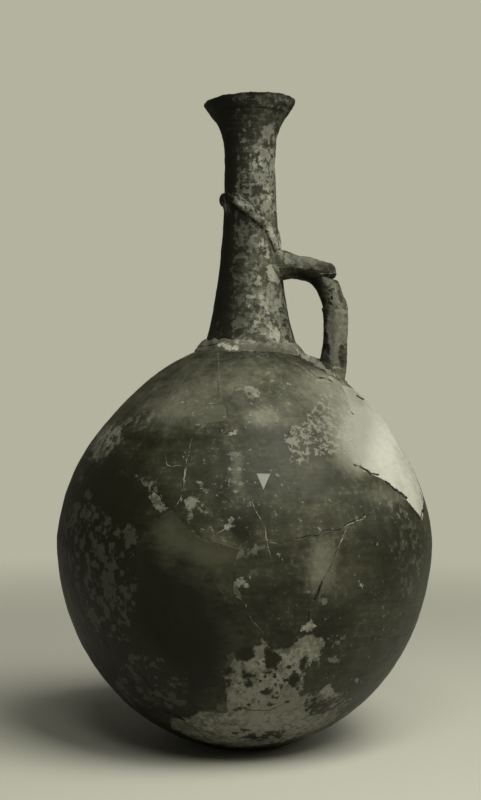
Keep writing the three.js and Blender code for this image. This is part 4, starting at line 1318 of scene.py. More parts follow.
@dataclass(frozen=True)
class SlipFinish:
    """Burnished dark slip that has worn and flaked off the clay."""

    name: str
    dark: Colour = (0.0108, 0.0107, 0.0055)
    light: Colour = (0.0530, 0.0522, 0.0340)
    haze_and_painted_light: Colour = (0.1350, 0.1335, 0.1060)
    film: Colour = (0.2250, 0.2232, 0.1970)
    worn: Colour = (0.0850, 0.0840, 0.0600)
    dull_clay: Colour = (0.0880, 0.0872, 0.0680)
    clay: Colour = (0.1950, 0.1930, 0.1580)
    crust: Colour = (0.2350, 0.2325, 0.2000)
    soil_and_shade: Colour = (0.0095, 0.0094, 0.0055)
    wear: float = 0.0
    gloss: float = 0.50
    sheen: float = 0.16

    def make(self) -> Material:
        """Build the material.

        Returns:
            The finished material.
        """
        bench = Bench(self.name)
        cloud = bench.noise(60.0, 3.0)
        mottle = bench.noise(13.0, 5.0, 0.62)
        fine = bench.noise(3.2, 5.0, 0.65)
        grain = bench.noise(0.9, 3.0, 0.6)
        stroke = bench.noise(26.0, 4.0, 0.6, 11.0)
        # The tone darkens and lightens the slip with painted light and shade, and also sways the rub, the
        # bare clay and the crust.
        tone_and_shading = bench.attribute("tone_and_shading")
        shade = bench.weighted(
            (cloud, 0.9), (mottle, 0.9), (stroke, 0.5), (fine, 0.4), (tone_and_shading, 0.7), start=-0.97)
        colour = bench.mix(bench.ease(shade, 0.0, 1.0), self.dark, self.light)
        rub = bench.weighted((mottle, 1.2), (fine, 1.3), (stroke, 0.6), (tone_and_shading, 0.35), start=self.wear - 1.6)
        rubbed = bench.ease(rub, 0.10, 0.55)
        colour = bench.mix(rubbed, colour, self.worn, 0.75)
        # The veil lays painted light and glare on the slip as a pale haze, and a paler film where the
        # plaster fill's edges soften.
        veil_and_painted_light = bench.weighted((bench.attribute("veil_and_painted_light"), 1.0), (mottle, 0.5), (fine, 0.5), start=-0.5)
        colour = bench.mix(bench.ease(veil_and_painted_light, 0.05, 1.0, 0.0, 0.9), colour, self.haze_and_painted_light)
        colour = bench.mix(bench.ease(veil_and_painted_light, 0.9, 1.9), colour, self.film)
        ragged = bench.weighted((fine, 5.0), (grain, 2.2), start=-3.6)
        bare = bench.shown("bare", ragged, 0.30)
        crusty = bench.shown("crust", ragged, 0.24)
        patch = bench.weighted((mottle, 1.3), (fine, 1.2), (grain, 0.5), (tone_and_shading, 0.9), start=-1.0)
        clay = bench.mix(bench.ease(patch, 0.2, 0.8), self.dull_clay, self.clay)
        colour = bench.mix(bare, colour, clay)
        scale = bench.ease(bench.weighted((fine, 1.0), (tone_and_shading, 0.5)), 0.35, 0.65)
        colour = bench.mix(crusty, colour, bench.mix(scale, clay, self.crust))
        speck = bench.ease(bench.weighted((bench.cells(4.6), 1.0), (grain, 0.12)), 0.15, 0.10)
        strewn = bench.ease(bench.weighted((cloud, 0.8), (mottle, 0.9)), 0.86, 1.02)
        colour = bench.mix(bench.math("MULTIPLY", speck, strewn), colour, self.crust, 0.24)
        colour = bench.mix(bench.shown("stain", ragged, 0.2), colour, self.dark, 0.8)
        thin = bench.weighted((fine, 0.9), (grain, 0.4), start=-0.65)
        gaps = bench.ease(bench.noise(5.0, 2.0), 0.40, 0.60, 0.12, 0.85)
        pale = bench.math("MULTIPLY", bench.line(LineKind.PALE, thin, -0.12, 0.16), gaps)
        colour = bench.mix(pale, colour, self.crust)
        # Dark lines in the soil colour: real cracks and gaps, and painted shadow under the lip and a
        # flake's edge.
        crack = bench.math("MULTIPLY", bench.line(LineKind.DARK, thin, -0.10, 0.14),
                           bench.ease(bench.noise(3.6, 2.0), 0.40, 0.54, 0.2, 1.0))
        colour = bench.mix(crack, colour, self.soil_and_shade)
        lines = bench.math("MAXIMUM", pale, crack)
        matt = bench.math("MAXIMUM", bench.math("MAXIMUM", bare, crusty), lines)
        rough = bench.weighted((mottle, 0.26), (rubbed, 0.14), start=self.gloss - 0.13)
        rough = bench.math("MAXIMUM", rough, bench.math("MULTIPLY", matt, 0.86))
        height = bench.weighted(
            (grain, 0.05), (fine, 0.10), (stroke, 0.10), (bare, -0.20), (crusty, 0.10), (crack, -0.55),
            (bench.math("MULTIPLY", matt, grain), 0.25), (bench.math("MULTIPLY", matt, fine), 0.25),
        )
        return bench.finished(colour, rough, self.sheen, height)


@dataclass(frozen=True)
class PlasterFinish:
    """Plaster of the mend, pale or toned to the slip."""

    name: str
    pale: Colour = (0.3700, 0.3668, 0.3340)
    grey: Colour = (0.2450, 0.2428, 0.2160)
    fade: Colour = (0.2150, 0.2132, 0.1895)
    dirt_and_shade: Colour = (0.0600, 0.0590, 0.0400)
    crack: Colour = (0.0095, 0.0094, 0.0055)
    scratch: Colour = (0.2750, 0.2710, 0.2130)
    matt: float = 0.72
    soiling: float = 0.0
    tone_share: float = 0.0
    rim_width: float = 2.5
    rim_share: float = 0.5
    sheen: float = 0.3

    def make(self) -> Material:
        """Build the material.

        Returns:
            The finished material.
        """
        bench = Bench(self.name)
        cloud = bench.noise(24.0, 4.0, 0.6)
        smear = bench.noise(9.0, 4.0, 0.6, 3.0)
        fine = bench.noise(2.4, 4.0, 0.6)
        grain = bench.noise(0.7, 3.0, 0.6)
        # The tone shades the plaster with painted light and shade.
        tone_and_shading = bench.attribute("tone_and_shading")
        shade = bench.weighted(
            (cloud, 0.9), (smear, 0.7), (fine, 0.35), (tone_and_shading, self.tone_share), start=-0.45)
        colour = bench.mix(bench.ease(shade, 0.1, 0.9), self.grey, self.pale)
        # Soiling is raised where the tone is dark, so painted shade on the plaster is laid in the dirt
        # colour too.
        soil_and_shade = bench.weighted(
            (cloud, 1.1), (fine, 0.9), (smear, 0.5), (tone_and_shading, -self.tone_share), start=self.soiling - 1.45)
        soiled_and_shaded = bench.ease(soil_and_shade, 0.0, 0.5)
        colour = bench.mix(soiled_and_shaded, colour, self.dirt_and_shade, 0.8)
        pit = bench.ease(bench.weighted((bench.cells(3.4), 1.0), (grain, 0.12)), 0.16, 0.10)
        pit = bench.math("MULTIPLY", pit, bench.ease(cloud, 0.5, 0.6))
        colour = bench.mix(pit, colour, self.dirt_and_shade, 0.7)
        ragged = bench.weighted((fine, 4.0), (grain, 1.6), start=-2.8)
        colour = bench.mix(bench.shown("crust", ragged, 0.2), colour, self.scratch)
        colour = bench.mix(bench.shown("bare", ragged, 0.25), colour, self.scratch, 0.6)
        # The veil fades the plaster fill's edges and also carries painted glare.
        veil_and_painted_light = bench.weighted((bench.attribute("veil_and_painted_light"), 1.0), (smear, 0.8), (fine, 0.5), start=-0.65)
        colour = bench.mix(bench.ease(veil_and_painted_light, 0.2, 2.1), colour, self.fade)
        if self.rim_share > 0.0:
            rim = bench.weighted((bench.attribute("edge"), 1.0), (fine, 4.0), (smear, 3.0), start=-3.5)
            rim = bench.ease(rim, self.rim_width, 0.0, 0.0, self.rim_share)
            colour = bench.mix(rim, colour, self.fade)
        thin = bench.weighted((fine, 0.8), (grain, 0.4), start=-0.6)
        colour = bench.mix(bench.line(LineKind.PALE, thin, -0.12, 0.14, 0.6), colour, self.scratch)
        crack = bench.line(LineKind.DARK, thin, -0.10, 0.14)
        colour = bench.mix(crack, colour, self.crack)
        rough = bench.weighted((cloud, 0.2), (soiled_and_shaded, 0.1), start=self.matt - 0.1)
        height = bench.weighted((grain, 0.06), (fine, 0.12), (smear, 0.16), (pit, -0.4), (crack, -0.6))
        return bench.finished(colour, rough, self.sheen, height)


@dataclass(frozen=True)
class Wardrobe:
    """Finishes of the pieces, made once."""

    slip: SlipFinish = SlipFinish("burnished_dark_slip", wear=0.0, gloss=0.47)
    worn: SlipFinish = SlipFinish("worn_slip_on_wall", wear=0.06, gloss=0.50)
    neck: SlipFinish = SlipFinish(
        "worn_slip_on_neck", dark=(0.0085, 0.0084, 0.0046), light=(0.0640, 0.0630, 0.0450),
        worn=(0.1000, 0.0990, 0.0790), clay=(0.1720, 0.1704, 0.1460), wear=0.22, gloss=0.66, sheen=0.17,
    )
    plaster: PlasterFinish = PlasterFinish("pale_plaster", tone_share=0.5, rim_share=0.0)
    dulled: PlasterFinish = PlasterFinish(
        "dulled_plaster", pale=(0.2250, 0.2232, 0.2010), grey=(0.1800, 0.1784, 0.1575), rim_share=0.0,
    )
    greyed: PlasterFinish = PlasterFinish(
        "greyed_plaster", pale=(0.0640, 0.0634, 0.0455), grey=(0.0480, 0.0475, 0.0335),
        dirt_and_shade=(0.0320, 0.0316, 0.0215), scratch=(0.1500, 0.1484, 0.1200),
        matt=0.62, rim_share=0.0, sheen=0.18,
    )
    bedding: PlasterFinish = PlasterFinish(
        "soiled_bedding_plaster", pale=(0.1600, 0.1586, 0.1310), grey=(0.0720, 0.0713, 0.0560),
        fade=(0.0950, 0.0940, 0.0740), dirt_and_shade=(0.0280, 0.0277, 0.0190), scratch=(0.3300, 0.3265, 0.2850),
        matt=0.85, soiling=0.34, tone_share=0.35, rim_share=0.0,
    )
    toned: PlasterFinish = PlasterFinish(
        "toned_plaster", pale=(0.0530, 0.0525, 0.0337), grey=(0.0098, 0.0097, 0.0053),
        fade=(0.0190, 0.0187, 0.0108), dirt_and_shade=(0.0105, 0.0104, 0.0055), scratch=(0.1100, 0.1080, 0.0770),
        matt=0.60, tone_share=0.9, rim_width=9.0, rim_share=0.5, sheen=0.16,
    )


@dataclass(frozen=True)
class Relief:
    """Unevenness of a face in millimetres: slow sway, small ripple, flakes, crusts, cracks and pits."""

    sway_grain: Grain
    sway: float
    sway_size: float
    sway_layers: int
    flake: float
    crust: float = 0.0
    groove: float = 0.0
    pit: float = 0.0
    ripple: float = 0.0
    ripple_size: float = 1.0
    ripple_shift: float = 0.0
    ripple_grain: Grain | None = None
    share_power: int = 0

    def lift(self, points: Array, fields: dict[str, Array]) -> Array:
        """How far the worn face stands off its plain form.

        Args:
            points: Places in millimetres.
            fields: Depths of the marks there.

        Returns:
            Heights in millimetres.
        """
        lift = self.sway * self.sway_grain.layered(points, self.sway_size, self.sway_layers)
        if self.ripple:
            grain = self.ripple_grain or self.sway_grain
            lift += self.ripple * grain.layered(points + self.ripple_shift, self.ripple_size, 2)
        for name, height in (("bare", -self.flake), ("crust", self.crust)):
            share = fields[f"{name}_share"] ** self.share_power
            lift += height * smoothstep(fields[name], *MARK_EDGE) * share
        lift -= self.groove * smoothstep(fields["dark_line"], *GROOVE_EDGE)
        return lift - self.pit * smoothstep(fields["stain"], *PIT_EDGE)


@dataclass
class BodyWall:
    """Sherds and fills of the body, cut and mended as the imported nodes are."""

    form: BodyForm
    marks: MarkSet
    fine: float = 1.15
    line_fine: float = 0.45
    line_reach: float = 1.1
    coarse: float = 8.0
    joint: float = 0.4
    widest_joint: float = 2.4
    hairline: float = 0.01
    least_push: float = 0.2
    outer_layer: float = 1.6
    facing: float = 0.6
    chip_depth: float = 0.38
    chip_reach: float = 1.7
    chip_size: float = 5.0
    chip_bar: float = 0.1
    chip_edge: float = 0.2
    veil_and_painted_light_range: tuple[float, float] = (0.5, 1.2)
    base_edge: tuple[float, float] = (0.4, 5.0)
    shoulder_shift: float = 1.1
    shift_rise: tuple[float, float] = (195.0, 235.0)
    shift_fall: tuple[float, float] = (240.0, 268.0)
    edge_limit: float = 14.0
    relief: Relief = Relief(
        Grain(21), 0.42, 46.0, 2, flake=0.38, crust=0.22, groove=0.55,
        ripple=0.16, ripple_size=9.0, ripple_grain=Grain(22), share_power=2,
    )
    chip_grain: Grain = Grain(23)

    def longest(self, middles: Array) -> Array:
        """Longest edge allowed at places: short outside, shorter at drawn lines, long inside.

        Args:
            middles: Middles of edges.

        Returns:
            Lengths in millimetres.
        """
        rays = middles - self.form.centre()
        reach = np.linalg.norm(rays, axis=1)
        depth = self.form.reach(rays / reach[:, None], 0.0, 0.0) - reach
        limit = np.where(depth < self.outer_layer, self.fine, self.coarse)
        outside = np.flatnonzero(depth < self.outer_layer)
        front = outside[self.marks.view.seen(middles[outside], unit(rays[outside])) > 0.0]
        on_line = front[self.marks.line_distance(middles[front]) < self.line_reach]
        limit[on_line] = self.line_fine
        return limit

    def rounded(self, blank: Blank) -> None:
        """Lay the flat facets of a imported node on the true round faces.

        Args:
            blank: Mesh of the node, changed in place.
        """
        for side, inset, floor in ((Side.INNER, self.form.wall, self.form.floor), (Side.OUTER, 0.0, 0.0)):
            rows = np.flatnonzero(blank.on_side(side))
            rays = unit(blank.points[rows] - self.form.centre())
            reach = self.form.reach(rays, inset, floor)
            blank.points[rows] = self.form.centre() + rays * reach[:, None]

    def gaps(self, node: str, points: Array) -> Array:
        """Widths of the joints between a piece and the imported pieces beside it.

        Args:
            node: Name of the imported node.
            points: Places on its broken edge.

        Returns:
            Widths in millimetres.
        """
        others = Blank.of_all([Blank.of_node(other) for other, *_ in WALL_PIECES if other != node])
        tree = BVHTree.FromPolygons(others.points.tolist(), others.faces.tolist())
        found = [tree.find_nearest(Vector(point), self.widest_joint)[3] for point in points]
        return np.array([self.joint if width is None else width for width in found])

    def closed(self, blank: Blank, node: str) -> None:
        """Move the broken edges out, so that mended joints close to hairlines.

        Args:
            blank: Mesh of the node, changed in place.
            node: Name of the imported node.
        """
        normals = blank.face_normals()
        push = np.zeros_like(blank.points)
        edge = blank.tags == Side.EDGE.value
        for i in range(3):
            np.add.at(push, blank.faces[edge, i], normals[edge])
        rays = unit(blank.points - self.form.centre())
        push -= np.sum(push * rays, axis=1)[:, None] * rays
        rows = np.flatnonzero(np.linalg.norm(push, axis=1) > self.least_push)
        half = (self.gaps(node, blank.points[rows]) - self.hairline) / 2.0
        blank.points[rows] += half[:, None] * unit(push[rows])

    def edge_distance(self, blank: Blank) -> Array:
        """Distance of outer corners from the sherd's broken edge.

        Args:
            blank: Mesh of the node.

        Returns:
            Distances in millimetres, large on other corners.
        """
        outer, edge = blank.on_side(Side.OUTER), blank.on_side(Side.EDGE)
        rim = np.flatnonzero(outer & edge)
        tree = KDTree(len(rim))
        for row in rim:
            tree.insert(blank.points[row], int(row))
        tree.balance()
        away = np.full(len(blank.points), FAR)
        for row in np.flatnonzero(outer):
            away[row] = tree.find(blank.points[row])[2]
        return away

    def build_piece(self, node: str, slot: Slot, wear: float, offset: float, material: Material) -> None:
        """Make and dress one sherd or fill.

        Args:
            node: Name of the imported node.
            slot: Material slot of the record.
            wear: How worn its unseen side is.
            offset: How far it stands proud of its neighbours.
            material: Finish of the piece.
        """
        blank = Blank.of_node(node)
        middles = blank.points[blank.faces].mean(axis=1)
        looks = np.sum(blank.face_normals() * unit(middles - self.form.centre()), axis=1)
        blank.tags[looks > self.facing] = Side.OUTER.value
        blank.tags[looks < -self.facing] = Side.INNER.value
        blank.refine(self.longest)
        self.rounded(blank)
        self.closed(blank, node)
        rays = unit(blank.points - self.form.centre())
        outer = blank.on_side(Side.OUTER)
        fields = self.marks.fields(blank.points, rays, wear)
        plaster = slot in (Slot.PLASTER, Slot.TONED_PLASTER)
        relief = replace(self.relief, flake=0.0, crust=0.0) if plaster else self.relief
        lift = relief.lift(blank.points, fields) + offset
        away = self.edge_distance(blank)
        chip = np.clip(self.chip_grain.layered(blank.points, self.chip_size, 2) - self.chip_bar, 0.0, 1.0)
        chip *= 1.0 - smoothstep(fields["veil_and_painted_light"], *self.veil_and_painted_light_range)
        lift -= self.chip_depth * chip * (1.0 - smoothstep(away, self.chip_edge, self.chip_reach))
        on_base = smoothstep(blank.points[:, 2], *self.base_edge)
        blank.points += rays * np.where(outer, lift * on_base, 0.0)[:, None]
        height = blank.points[:, 2]
        shift = smoothstep(height, *self.shift_rise) * (1.0 - smoothstep(height, *self.shift_fall))
        blank.points[:, 0] += self.shoulder_shift * shift
        fields["edge"] = np.clip(away, 0.0, self.edge_limit)
        blank.dress(node, slot, material, fields)


@dataclass
class NeckAndMouth:
    """Neck tube and mouth rim, turned and roughened."""

    form: NeckForm
    marks: MarkSet
    spacing: float = 0.95
    inner_spacing: float = 2.4
    sides: int = 168
    close: float = 0.12
    lip_crown: float = 0.9
    worn_lip: float = 3.5
    notch: float = 0.5
    notch_size: float = 3.4
    notch_sway: float = 14.0
    bridge_steps: int = 6
    wear: float = 0.75
    relief: Relief = Relief(
        Grain(31), 0.35, 24.0, 2, flake=0.32, crust=0.2, groove=0.4,
        ripple=0.16, ripple_size=6.0, ripple_shift=90.0,
    )
    notch_grain: Grain = Grain(32)

    def ring(self, node: str, low: float, high: float, material: Material, lip: bool) -> None:
        """Make and dress a ring of the neck's wall between two heights.

        Args:
            node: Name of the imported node.
            low: Lowest height.
            high: Highest height.
            material: Finish of the ring.
            lip: Whether the top is the worn lip of the mouth.
        """
        up = np.linspace(low, high, max(4, int((high - low) / self.spacing)))
        down = np.linspace(high, low, max(4, int((high - low) / self.inner_spacing)))
        outer = np.stack([self.form.radius_at(up), up], axis=1)
        inner = np.stack([self.form.radius_at(down) - self.form.thickness(down), down], axis=1)
        bridge = np.linspace(0.0, 1.0, self.bridge_steps)[1:-1, None]
        top = outer[-1] + bridge * (inner[0] - outer[-1])
        if lip:
            top[:, 1] += self.lip_crown * np.sin(math.pi * bridge[:, 0])
        bottom = inner[-1] + bridge * (outer[0] - inner[-1])
        profile = np.concatenate([outer, top, inner, bottom])
        radius, angle = np.meshgrid(profile[:, 0], around(self.sides), indexing="ij")
        height = np.broadcast_to(profile[:, 1][:, None], radius.shape)
        blank = loft(self.form.placed(radius, angle, height), closed_row=True)
        normals = blank.normals()
        fields = self.marks.fields(blank.points, normals, self.wear)
        blank.points += normals * self.relief.lift(blank.points, fields)[:, None]
        if lip:
            near = np.repeat(smoothstep(profile[:, 1], high - self.worn_lip, high), self.sides)
            rough = self.notch_grain.layered(blank.points, self.notch_size, 3)
            rough += 0.5 * self.notch_grain.smooth(blank.points, self.notch_sway)
            blank.points[:, 2] += near * self.notch * rough
        blank.dress(node, Slot.WORN_SLIP, material, fields)

    def build(self, material: Material) -> None:
        """Make and dress the neck and the mouth rim.

        Args:
            material: Finish of both.
        """
        part = self.form.mouth_height - self.form.lip_height
        self.ring("neck", self.form.seat, part + self.close, material, False)
        low = part + self.form.joint - self.close
        self.ring("mouth_rim", low, self.form.mouth_height, material, True)


def merged(blanks: list[Blank], voxel: float) -> Blank:
    """One skin round several overlapping closed meshes.

    Args:
        blanks: Meshes that overlap.
        voxel: Size of the cells that the skin is made with, in millimetres.

    Returns:
        Closed mesh of them all.
    """
    whole = Blank.of_all(blanks)
    mesh = bpy.data.meshes.new("overlapping")
    mesh.from_pydata(whole.points.tolist(), [], whole.faces.tolist())
    holder = bpy.data.objects.new("overlapping", mesh)
    bpy.context.collection.objects.link(holder)
    remesh = holder.modifiers.new("skin", "REMESH")
    remesh.mode = "VOXEL"
    remesh.voxel_size = voxel
    skin = bpy.data.meshes.new_from_object(holder.evaluated_get(bpy.context.evaluated_depsgraph_get()))
    skin.calc_loop_triangles()
    points = np.array([spot.co for spot in skin.vertices])
    faces = np.array([triangle.vertices for triangle in skin.loop_triangles])
    bpy.data.objects.remove(holder)
    bpy.data.meshes.remove(mesh)
    bpy.data.meshes.remove(skin)
    return Blank(points, faces)


def ball(rows: int, sides: int) -> Array:
    """Rings of a round ball of radius 1, open at the poles.

    Args:
        rows: Number of rings.
        sides: Number of points on each ring.

    Returns:
        Array of rings.
    """
    pole = math.pi / 2 - POLE_GAP
    lift, angle = np.meshgrid(np.linspace(-pole, pole, rows), around(sides), indexing="ij")
    return np.stack([np.cos(lift) * np.cos(angle), np.cos(lift) * np.sin(angle), np.sin(lift)], axis=-1)


@dataclass
class Handle:
    """Loop handle in three rejoined pieces, with the plaster round its foot."""

    neck: NeckForm
    marks: MarkSet
    reach: float = 63.7
    width: float = 20.0
    thickness: float = 15.6
    arm_height: float = 58.4
    arm_fall: float = 6.5
    bend_width: float = 22.0
    bend_drop: float = 31.0
    bend_swell: float = 1.2
    tuck: float = 5.5
    neck_flare: float = 1.42
    neck_spread: float = 0.15
    flare_length: float = 14.0
    root_flare: float = 1.25
    break_tilt: float = 15.0
    break_share: float = 0.45
    break_rise: float = 1.8
    strap_rise: float = 3.5
    end_reach: float = 62.4
    end_top: float = 54.6
    top_slope: float = 0.268
    block_start: float = 33.0
    block_half: float = 8.2
    late_taper: float = 0.3
    early_taper: float = 0.35
    corner: float = 3.2
    inset: float = 3.4
    waist: float = 2.0
    strap_fill: float = 1.2
    skin: float = 0.55
    knee_tuck: float = 4.0
    hip_bulge: float = 1.2
    crown: float = 0.7
    plaster_spread: float = 8.5
    plaster_rise: float = 3.2
    plaster_taper: float = 2.2
    plaster_shift: float = 4.5
    plaster_clod: float = 3.8
    neck_bed: float = 3.4
    foot_bed: float = 3.0
    close: float = 0.19
    end_cut: float = 0.6
    crown_run: tuple[float, float] = (26.0, 40.0)
    inset_run: tuple[float, float] = (0.0, 5.5)
    waist_run: tuple[float, float] = (10.0, 24.0)
    root_run: tuple[float, float] = (0.72, 0.95)
    bend_run: float = 0.18
    block_run: float = 10.0
    fullness: float = 0.8
    sides: int = 64
    steps: int = 150
    curve_steps: int = 200
    block_steps: int = 40
    fine: float = 1.0
    sharp: float = 62.0
    wears: tuple[float, ...] = (0.8, 0.7, 0.6)
    plaster_wear: float = 0.5
    clod_size: float = 11.0
    crumb: float = 0.45
    crumb_size: float = 2.6
    crumb_shift: float = 60.0
    lump_rows: int = 60
    lump_sides: int = 144
    relief: Relief = Relief(
        Grain(41), 0.45, 13.0, 3, flake=0.3, crust=0.18, pit=1.0,
        ripple=0.16, ripple_size=3.0, ripple_shift=50.0,
    )
    lump_grain: Grain = Grain(42)

    @property
    def neck_face(self) -> float:
        """Distance of the neck's face from the body's axis where the arm leaves it."""
        height = self.neck.seat + self.arm_height
        return float(self.neck.axis(height) + self.neck.radius_at(height))

    def foot(self) -> tuple[Array, Array]:
        """Where the strap meets the shoulder.

        Returns:
            The place, and the shoulder's outward direction there.
        """
        radius = self.reach - self.tuck
        inner, here, outer = self.neck.body.shoulder_height(radius + np.array([-1.0, 0.0, 1.0]))
        return np.array([radius, 0.0, here]), unit(np.array([inner - outer, 0.0, 2.0]))

    def stretches(self) -> list[list[tuple[float, float, float]]]:
        """Corners of the centre line's three stretches.

        Returns:
            Corners of the arm, the bend and the strap.
        """
        height = self.neck.seat + self.arm_height
        start = (float(self.neck.axis(height)), 0.0, height)
        bend = (self.reach - self.bend_width, 0.0, height - self.arm_fall)
        knee = (self.reach - self.knee_tuck, 0.0, bend[2] - self.arm_fall / 3.0)
        end = (self.reach, 0.0, bend[2] - self.bend_drop)
        foot = self.foot()[0] - np.array([0.0, 0.0, self.thickness])
        hip = (self.reach + self.hip_bulge, 0.0, (end[2] + foot[2]) / 2.0)
        return [[start, bend], [bend, knee, end], [end, hip, tuple(foot)]]

    def path(self) -> tuple[Array, float]:
        """Centre line from inside the neck, over the bend and down into the shoulder.

        Returns:
            Evenly spaced places, and the share of the line at the middle of the bend.
        """
        share = np.linspace(0.0, 1.0, self.curve_steps)[:, None]
        curves = [bezier(share, corners) for corners in self.stretches()]
        line = np.concatenate([curves[0], curves[1][1:], curves[2][1:]])
        run = np.concatenate([[0.0], np.cumsum(np.linalg.norm(np.diff(line, axis=0), axis=1))])
        even = np.linspace(0.0, run[-1], self.steps)
        middle = (run[len(share) - 1] + run[2 * len(share) - 2]) / (2.0 * run[-1])
        return np.stack([np.interp(even, run, line[:, i]) for i in range(3)], axis=1), middle

    def sweep(self) -> Blank:
        """Whole handle as one sweep, thicker at the neck, the bend and the shoulder.

        Returns:
            Closed mesh.
        """
        line, bend_middle = self.path()
        along = unit(np.gradient(line, axis=0))
        sideways = np.array([0.0, 1.0, 0.0])
        outward = -np.cross(along, sideways)
        share = np.linspace(0.0, 1.0, self.steps)
        face = self.neck_face
        near_neck = 1.0 - smoothstep(line[:, 0], face, face + self.flare_length)
        near_root = smoothstep(share, *self.root_run)
        near_bend = 1.0 - smoothstep(np.abs(share - bend_middle), 0.0, self.bend_run)
        swell = 1.0 + (self.neck_flare - 1.0) * near_neck + (self.root_flare - 1.0) * near_root
        swell += (self.bend_swell - 1.0) * near_bend
        turn = around(self.sides)
        half_width = self.width / 2.0 * (1.0 + self.neck_spread * near_neck)
        side = (half_width[:, None] * np.cos(turn))[:, :, None] * sideways
        out = (swell[:, None] * self.thickness / 2.0 * np.sin(turn))[:, :, None] * outward[:, None, :]
        return loft(line[:, None, :] + side + out)

    def part(self, blank: Blank, cuts: list[tuple[Array, Array]]) -> Blank:
        """Part of a closed mesh behind a row of planes.

        Args:
            blank: Closed mesh.
            cuts: Point and normal of each plane; what lies beyond it goes.

        Returns:
            Closed mesh of what is left.
        """
        work = bmesh.new()
        spots = [work.verts.new(point) for point in blank.points]
        for face in blank.faces:
            work.faces.new([spots[i] for i in face])
        for point, normal in cuts:
            geometry = work.verts[:] + work.edges[:] + work.faces[:]
            cut = bmesh.ops.bisect_plane(
                work, geom=geometry, plane_co=point, plane_no=normal, clear_outer=True, dist=CUT_REACH)
            rim = [edge for edge in cut["geom_cut"] if isinstance(edge, bmesh.types.BMEdge)]
            bmesh.ops.holes_fill(work, edges=rim, sides=0)
        bmesh.ops.triangulate(work, faces=work.faces[:])
        bmesh.ops.remove_doubles(work, verts=work.verts[:], dist=WELD_REACH)
        work.verts.index_update()
        points = np.array([spot.co for spot in work.verts], dtype=float)
        faces = np.array([[spot.index for spot in face.verts] for face in work.faces])
        work.free()
        return Blank(points, faces)

    def block(self) -> Blank:
        """Straight end of the arm, blunt where it stops above the bend.

        Returns:
            Closed mesh.
        """
        along = np.linspace(self.block_start, self.end_reach, self.block_steps)
        late = np.clip((along - self.end_reach + self.corner) / self.corner, 0.0, 1.0)
        early = 1.0 - smoothstep(along, self.block_start, self.block_start + self.block_run)
        size = 1.0 - self.late_taper * late ** 2 - self.early_taper * early
        top = self.neck.seat + self.end_top + self.top_slope * (self.end_reach - along)
        turn = around(self.sides)
        across = self.width / 2.0 * size[:, None] * squarish(np.cos(turn), self.fullness)
        half = self.block_half * size[:, None] * squarish(np.sin(turn), self.fullness)
        rise = (top - self.block_half)[:, None] + half
        return loft(np.stack([np.repeat(along[:, None], self.sides, axis=1), across, rise], axis=-1))

    def shaped(self, node: str, points: Array, normals: Array, joint: Array, up: Array) -> Array:
        """How far a piece's face stands off the plain sweep.

        Args:
            node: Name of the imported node.
            points: Places in millimetres.
            normals: Outward directions there.
            joint: A place on the joint between the arm and the bend.
            up: Direction square to that joint.

        Returns:
            Heights: a full top on the arm, a bend set back under it, a thick inner face on the strap.
        """
        if node == "handle_arm":
            upward = smoothstep(normals[:, 2], 0.0, 0.7)
            return self.crown * upward * smoothstep(points[:, 0], *self.crown_run)
        if node == "handle_bend":
            below = (joint - points) @ up
            back = self.inset * (1.0 - smoothstep(below, *self.inset_run))
            back += self.waist * (1.0 - smoothstep(below, *self.waist_run))
            return -back * smoothstep(normals[:, 0], 0.1, 0.8)
        return self.strap_fill * smoothstep(-normals[:, 0], 0.2, 0.8)

    def root_plaster(self) -> Blank:
        """Clods of plaster round the handle's foot, flattened where they lie in the wall.

        Returns:
            Closed mesh.
        """
        body = self.neck.body
        foot, outward = self.foot()
        level = outward[2]
        along = (self.root_flare * self.thickness / 2.0 + self.plaster_spread) / level
        middle = foot[0] - self.plaster_shift
        lump = ball(self.lump_rows, self.lump_sides)
        lump[..., 2] = squarish(lump[..., 2], self.plaster_taper)
        lump *= np.array([along, self.width / 2.0 + self.plaster_spread, self.plaster_rise])
        across = middle + lump[..., 0] * level
        ground = body.shoulder_height(np.hypot(across, lump[..., 1]))
        wall = np.stack([across, lump[..., 1], ground], axis=-1)
        blank = loft(wall + unit(wall - body.centre()) * lump[..., 2:])
        normals = blank.normals()
        clods = np.abs(self.lump_grain.layered(blank.points, self.clod_size, 3))
        crumbs = self.lump_grain.layered(blank.points + self.crumb_shift, self.crumb_size, 2)
        blank.points += normals * (self.plaster_clod * (clods - 0.4) + self.crumb * crumbs)[:, None]
        rays = blank.points - body.centre()
        reach = np.linalg.norm(rays, axis=1)
        deepest = body.reach(rays / reach[:, None], 0.0, 0.0) - self.foot_bed
        blank.points = body.centre() + rays / reach[:, None] * np.maximum(reach, deepest)[:, None]
        return blank

